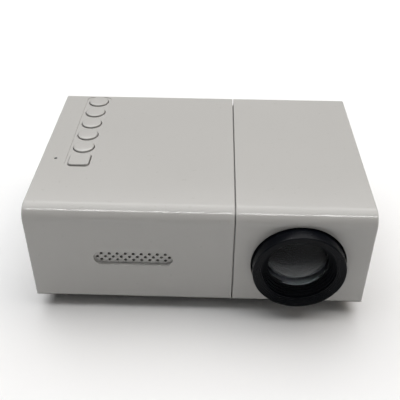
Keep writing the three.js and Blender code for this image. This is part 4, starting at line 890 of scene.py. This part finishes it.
FOOT_EDGE = 0.6 * MM
FOOT_DIMPLE = {"radius": 2.6 * MM, "depth": 0.3 * MM, "slope": 0.3 * MM}
for node in ("front_left_foot", "front_right_foot", "rear_left_foot", "rear_right_foot"):
    low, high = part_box(node)
    radius = (high.x - low.x) / 2
    height = high.z - low.z
    turns = [math.radians(a) for a in range(0, 91, 15)]
    rounding = [(radius - FOOT_EDGE * (1 - math.cos(turn)), FOOT_EDGE * (1 - math.sin(turn)))
                for turn in turns]
    section = [(0, height), (radius, height), *rounding, (FOOT_DIMPLE["radius"] + FOOT_DIMPLE["slope"], 0),
               (FOOT_DIMPLE["radius"], FOOT_DIMPLE["depth"]), (0, FOOT_DIMPLE["depth"])]
    at = middle(node)
    shape = turned_shape(section, Vector((at.x, at.y, low.z)), UP, segments=40)
    foot = object_of(node + "_rubber", shape)
    smoothed(foot, angle=40)
    foot.data.materials.append(rubber)
    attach(foot, "projector_case")
    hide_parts(node)


# ---- Indicator lens and grille cloth ------------------------------------------------------------
# A thin clear light pipe that ends flush in the top of the case, and the black woven cloth glued
# behind the grille holes.

WEAVE_PITCH = 0.35 * MM
WAVE_SCALE = 0.314  # scale of a band pattern, times its pitch in metres


def clear_acrylic(name):
    """Clear acrylic with a little moulding flow and fine dust."""
    finish = Finish(name)
    flow = finish.noise(160, detail=2)
    dust = finish.rise(finish.noise(900, detail=1), 0.72, 0.80)
    colour = finish.blend(dust * 0.3, (0.82, 0.86, 0.84, 1), (0.5, 0.5, 0.5, 1))
    return finish.surface(Base_Color=colour, Roughness=0.05 + flow * 0.08, IOR=1.49,
                          Transmission_Weight=0.85)


def woven_cloth(name):
    """Black speaker cloth: threads crossing both ways with a thin dark reddish ground between them."""
    finish = Finish(name)
    threads = [finish.node("ShaderNodeTexWave", {"wave_type": "BANDS", "bands_direction": direction},
                           {"Vector": finish.place, "Scale": WAVE_SCALE / WEAVE_PITCH, "Distortion": 0.4},
                           "Fac") for direction in ("X", "Z")]
    weave = finish.maths("MAXIMUM", *threads)
    fluff = finish.noise(1500, detail=3)
    colour = finish.blend(weave * (0.6 + fluff * 0.4), (0.014, 0.005, 0.006, 1), (0.075, 0.04, 0.043, 1))
    return finish.surface(Base_Color=colour, Roughness=0.82 + fluff * 0.15,
                          Normal=finish.bump(weave, 0.0001, 0.7))


carried("indicator_lens", clear_acrylic("indicator_acrylic"), edge=0)
carried("grille_cloth", woven_cloth("grille_weave"), edge=0)


# ---- Board, switches and sockets ----------------------------------------------------------------
# The green mainboard hangs under the top of the case. It carries the push switches, the main chip
# and every socket: folded steel shells at the rear, black moulded jacks at the left.


def solder_mask(name):
    """Green solder mask with copper showing faintly through it as a fine grid of tracks."""
    finish = Finish(name)
    tracks = finish.node("ShaderNodeTexBrick", {"offset": 0.35, "squash": 0.6, "squash_frequency": 3},
                         {"Vector": finish.place, "Scale": 260.0, "Mortar Size": 0.06, "Mortar Smooth": 0.2},
                         "Fac")
    patches = finish.rise(finish.noise(130, detail=1), 0.48, 0.52)
    copper = tracks * patches
    uneven = finish.noise(500, detail=2)
    colour = finish.blend(copper * 0.6 + uneven * 0.15, (0.012, 0.105, 0.045, 1), (0.05, 0.24, 0.10, 1))
    return finish.surface(Base_Color=colour, Roughness=0.3 + uneven * 0.15,
                          Normal=finish.bump(copper + uneven * 0.3, 0.00004, 0.5))


def matt_plastic(name, dark, light, roughness=0.5, scale=2400):
    """Moulded plastic with a fine grain, slight colour variation and paler rubbed spots."""
    finish = Finish(name)
    grain = finish.noise(scale, detail=3)
    rubbed = finish.noise(180, detail=4, roughness=0.6)
    colour = finish.blend(rubbed, (*dark, 1), (*light, 1))
    return finish.surface(Base_Color=colour, Roughness=roughness + rubbed * 0.18,
                          Normal=finish.bump(grain, 0.00003, 0.5))


mask_green = solder_mask("mask_green")
switch_grey = matt_plastic("switch_grey", (0.09, 0.09, 0.095), (0.14, 0.14, 0.145))
matt_black = matt_plastic("matt_black", (0.016, 0.016, 0.018), (0.030, 0.030, 0.032))
chip_epoxy = matt_plastic("chip_epoxy", (0.014, 0.014, 0.016), (0.026, 0.026, 0.029), roughness=0.55,
                          scale=3500)
plated_steel = bare_metal("plated_steel", (0.42, 0.42, 0.43), (0.66, 0.66, 0.66), 0.24, stretch=(1, 6, 1))
carried("mainboard", mask_green)
carried("main_chip", chip_epoxy)
for node in [*ROUND_KEYS, SQUARE_KEY]:
    carried(node.replace("key", "switch"), switch_grey)
for node in ("hdmi_socket", "usb_socket", "card_slot"):
    carried(node, plated_steel)
for node in ("av_socket", "audio_socket", "dc_inlet", "ir_receiver"):
    carried(node, matt_black)


# ---- Inside the case: optics, cooling, sound and leads ------------------------------------------
# A black light box folds the beam from the lamp through the picture panel to the lens. The lamp
# sits on a finned aluminium heatsink cooled by the fan at the left, and thin leads join each to
# the board.


def printed_panel(name):
    """The dark picture panel: a fine grid of cells behind glass."""
    finish = Finish(name)
    cells = finish.node("ShaderNodeTexChecker", {}, {"Vector": finish.place, "Scale": 6000.0}, "Fac")
    haze = finish.noise(120, detail=2)
    colour = finish.blend(cells * 0.5 + haze * 0.3, (0.018, 0.020, 0.026, 1), (0.06, 0.065, 0.08, 1))
    return finish.surface(Base_Color=colour, Roughness=0.07 + haze * 0.08)


def silvered(name):
    """A front-silvered mirror with a trace of haze."""
    finish = Finish(name)
    haze = finish.noise(160, detail=3)
    colour = finish.blend(haze, (0.80, 0.82, 0.83, 1), (0.90, 0.91, 0.91, 1))
    return finish.surface(Base_Color=colour, Metallic=1.0, Roughness=0.02 + haze * 0.05)


def flexible_circuit(name):
    """Amber film with parallel copper tracks a third of a millimetre apart."""
    finish = Finish(name)
    tracks = finish.node("ShaderNodeTexWave", {"wave_type": "BANDS", "bands_direction": "Y"},
                         {"Vector": finish.place, "Scale": 900.0, "Distortion": 0.0}, "Fac")
    stain = finish.noise(200, detail=2)
    colour = finish.blend(tracks * 0.7 + stain * 0.2, (0.22, 0.09, 0.02, 1), (0.62, 0.33, 0.09, 1))
    return finish.surface(Base_Color=colour, Roughness=0.25 + stain * 0.15,
                          Normal=finish.bump(tracks, 0.00002, 0.5))


extruded_aluminium = bare_metal("extruded_aluminium", (0.55, 0.56, 0.57), (0.75, 0.76, 0.77), 0.28,
                                stretch=(1, 1, 8))
optic_glass = clear_acrylic("optic_glass")
for node in ("light_box", "light_box_lid", "lens_retainer", "fan_frame", "fan_rotor", "speaker"):
    carried(node, matt_black)
carried("friction_ring", switch_grey)
for node in ("field_lens", "collimator_lens", "heat_glass", "condenser_lens"):
    carried(node, optic_glass, edge=0)
carried("lcd_panel", printed_panel("picture_panel"))
carried("folding_mirror", silvered("mirror_silver"), edge=0)
carried("lcd_ribbon", flexible_circuit("amber_circuit"), edge=0)
carried("lamp_module", extruded_aluminium)
carried("heatsink", extruded_aluminium)
lead_red = matt_plastic("lead_red", (0.36, 0.035, 0.03), (0.50, 0.07, 0.055), roughness=0.38)
for node in ("fan_lead", "lamp_lead", "speaker_lead"):
    carried(node, lead_red, edge=0)


# ---- Studio -------------------------------------------------------------------------------------
# A plain pale table and backdrop, broad soft light from above, and the camera in front of the lens
# side, looking down.

CAMERA_PLACE = Vector((4.81, -210.47, 181.99)) * MM
CAMERA_YAW = -0.026
CAMERA_PITCH = 0.645
CAMERA_ROLL = 0.007
FIELD_OF_VIEW = math.radians(35.62)
TABLE_HALF = 1.6
BACKDROP_RADIUS = 5


def soft_light(name, place, target, width, height, power, colour=(1, 1, 1)):
    """A rectangular light that faces its target."""
    light = bpy.data.lights.new(name, "AREA")
    light.shape = "RECTANGLE"
    light.size = width
    light.size_y = height
    light.energy = power
    light.color = colour
    lamp = bpy.data.objects.new(name, light)
    bpy.context.scene.collection.objects.link(lamp)
    lamp.location = place
    lamp.rotation_mode = "QUATERNION"
    lamp.rotation_quaternion = (Vector(target) - Vector(place)).to_track_quat("-Z", "Y")
    return lamp


def pale_table():
    """Off-white laminate, very slightly uneven."""
    finish = Finish("pale_table")
    tone = finish.noise(3, detail=2)
    colour = finish.blend(tone, (0.83, 0.83, 0.83, 1), (0.86, 0.86, 0.86, 1))
    return finish.surface(Base_Color=colour, Roughness=0.75 + tone * 0.1)


def pale_backdrop():
    """A plain white surround that the camera sees but that lights nothing."""
    finish = Finish("pale_backdrop")
    tone = finish.noise(0.6, detail=1)
    glow = finish.blend(tone, (0.93, 0.93, 0.93, 1), (1.0, 1.0, 1.0, 1))
    return finish.surface(Base_Color=(0, 0, 0, 1), Emission_Color=glow, Emission_Strength=1.0)


table_shape = bmesh.new()
bmesh.ops.create_grid(table_shape, x_segments=1, y_segments=1, size=TABLE_HALF)
bmesh.ops.translate(table_shape, vec=(0, 0, cad_box[0].z), verts=table_shape.verts)
table = object_of("table", table_shape)
table.data.materials.append(pale_table())

backdrop_shape = bmesh.new()
bmesh.ops.create_icosphere(backdrop_shape, subdivisions=4, radius=BACKDROP_RADIUS)
bmesh.ops.reverse_faces(backdrop_shape, faces=backdrop_shape.faces)
backdrop = object_of("backdrop", backdrop_shape)
backdrop.data.materials.append(pale_backdrop())
backdrop.visible_diffuse = False
backdrop.visible_glossy = False
backdrop.visible_transmission = False
backdrop.visible_shadow = False

soft_light("ceiling_light", (-0.1, 0.8, 1.8), (-0.1, 0.8, 0), 3.0, 2.8, 71)
edge_strip = soft_light("edge_strip", (0.0, -0.55, 1.2), (0, 0, 0), 1.2, 0.04, 8)
edge_strip.visible_diffuse = False
soft_light("warm_side_light", (0.9, 0.1, 1.1), (0.03, 0, 0.04), 0.7, 0.7, 2.2, colour=(1.0, 0.86, 0.72))

world = bpy.data.worlds.new("studio")
world.use_nodes = True
world.node_tree.nodes["Background"].inputs["Color"].default_value = (1, 1, 1, 1)
world.node_tree.nodes["Background"].inputs["Strength"].default_value = 0.06
bpy.context.scene.world = world
bpy.context.scene.view_settings.view_transform = "Standard"

camera = bpy.data.objects.new("camera", bpy.data.cameras.new("camera"))
bpy.context.scene.collection.objects.link(camera)
camera.data.sensor_width = 36
camera.data.angle = FIELD_OF_VIEW
camera.data.clip_start = 0.01
level_ahead = Vector((math.sin(CAMERA_YAW), math.cos(CAMERA_YAW), 0))
ahead = level_ahead * math.cos(CAMERA_PITCH) - UP * math.sin(CAMERA_PITCH)
sideways = level_ahead.cross(UP)
above = sideways.cross(ahead)
tilted_side = sideways * math.cos(CAMERA_ROLL) + above * math.sin(CAMERA_ROLL)
tilted_above = above * math.cos(CAMERA_ROLL) - sideways * math.sin(CAMERA_ROLL)
camera.matrix_world = Matrix.Translation(CAMERA_PLACE) @ Matrix(
    (tilted_side, tilted_above, -ahead)).transposed().to_4x4()
bpy.context.scene.camera = camera
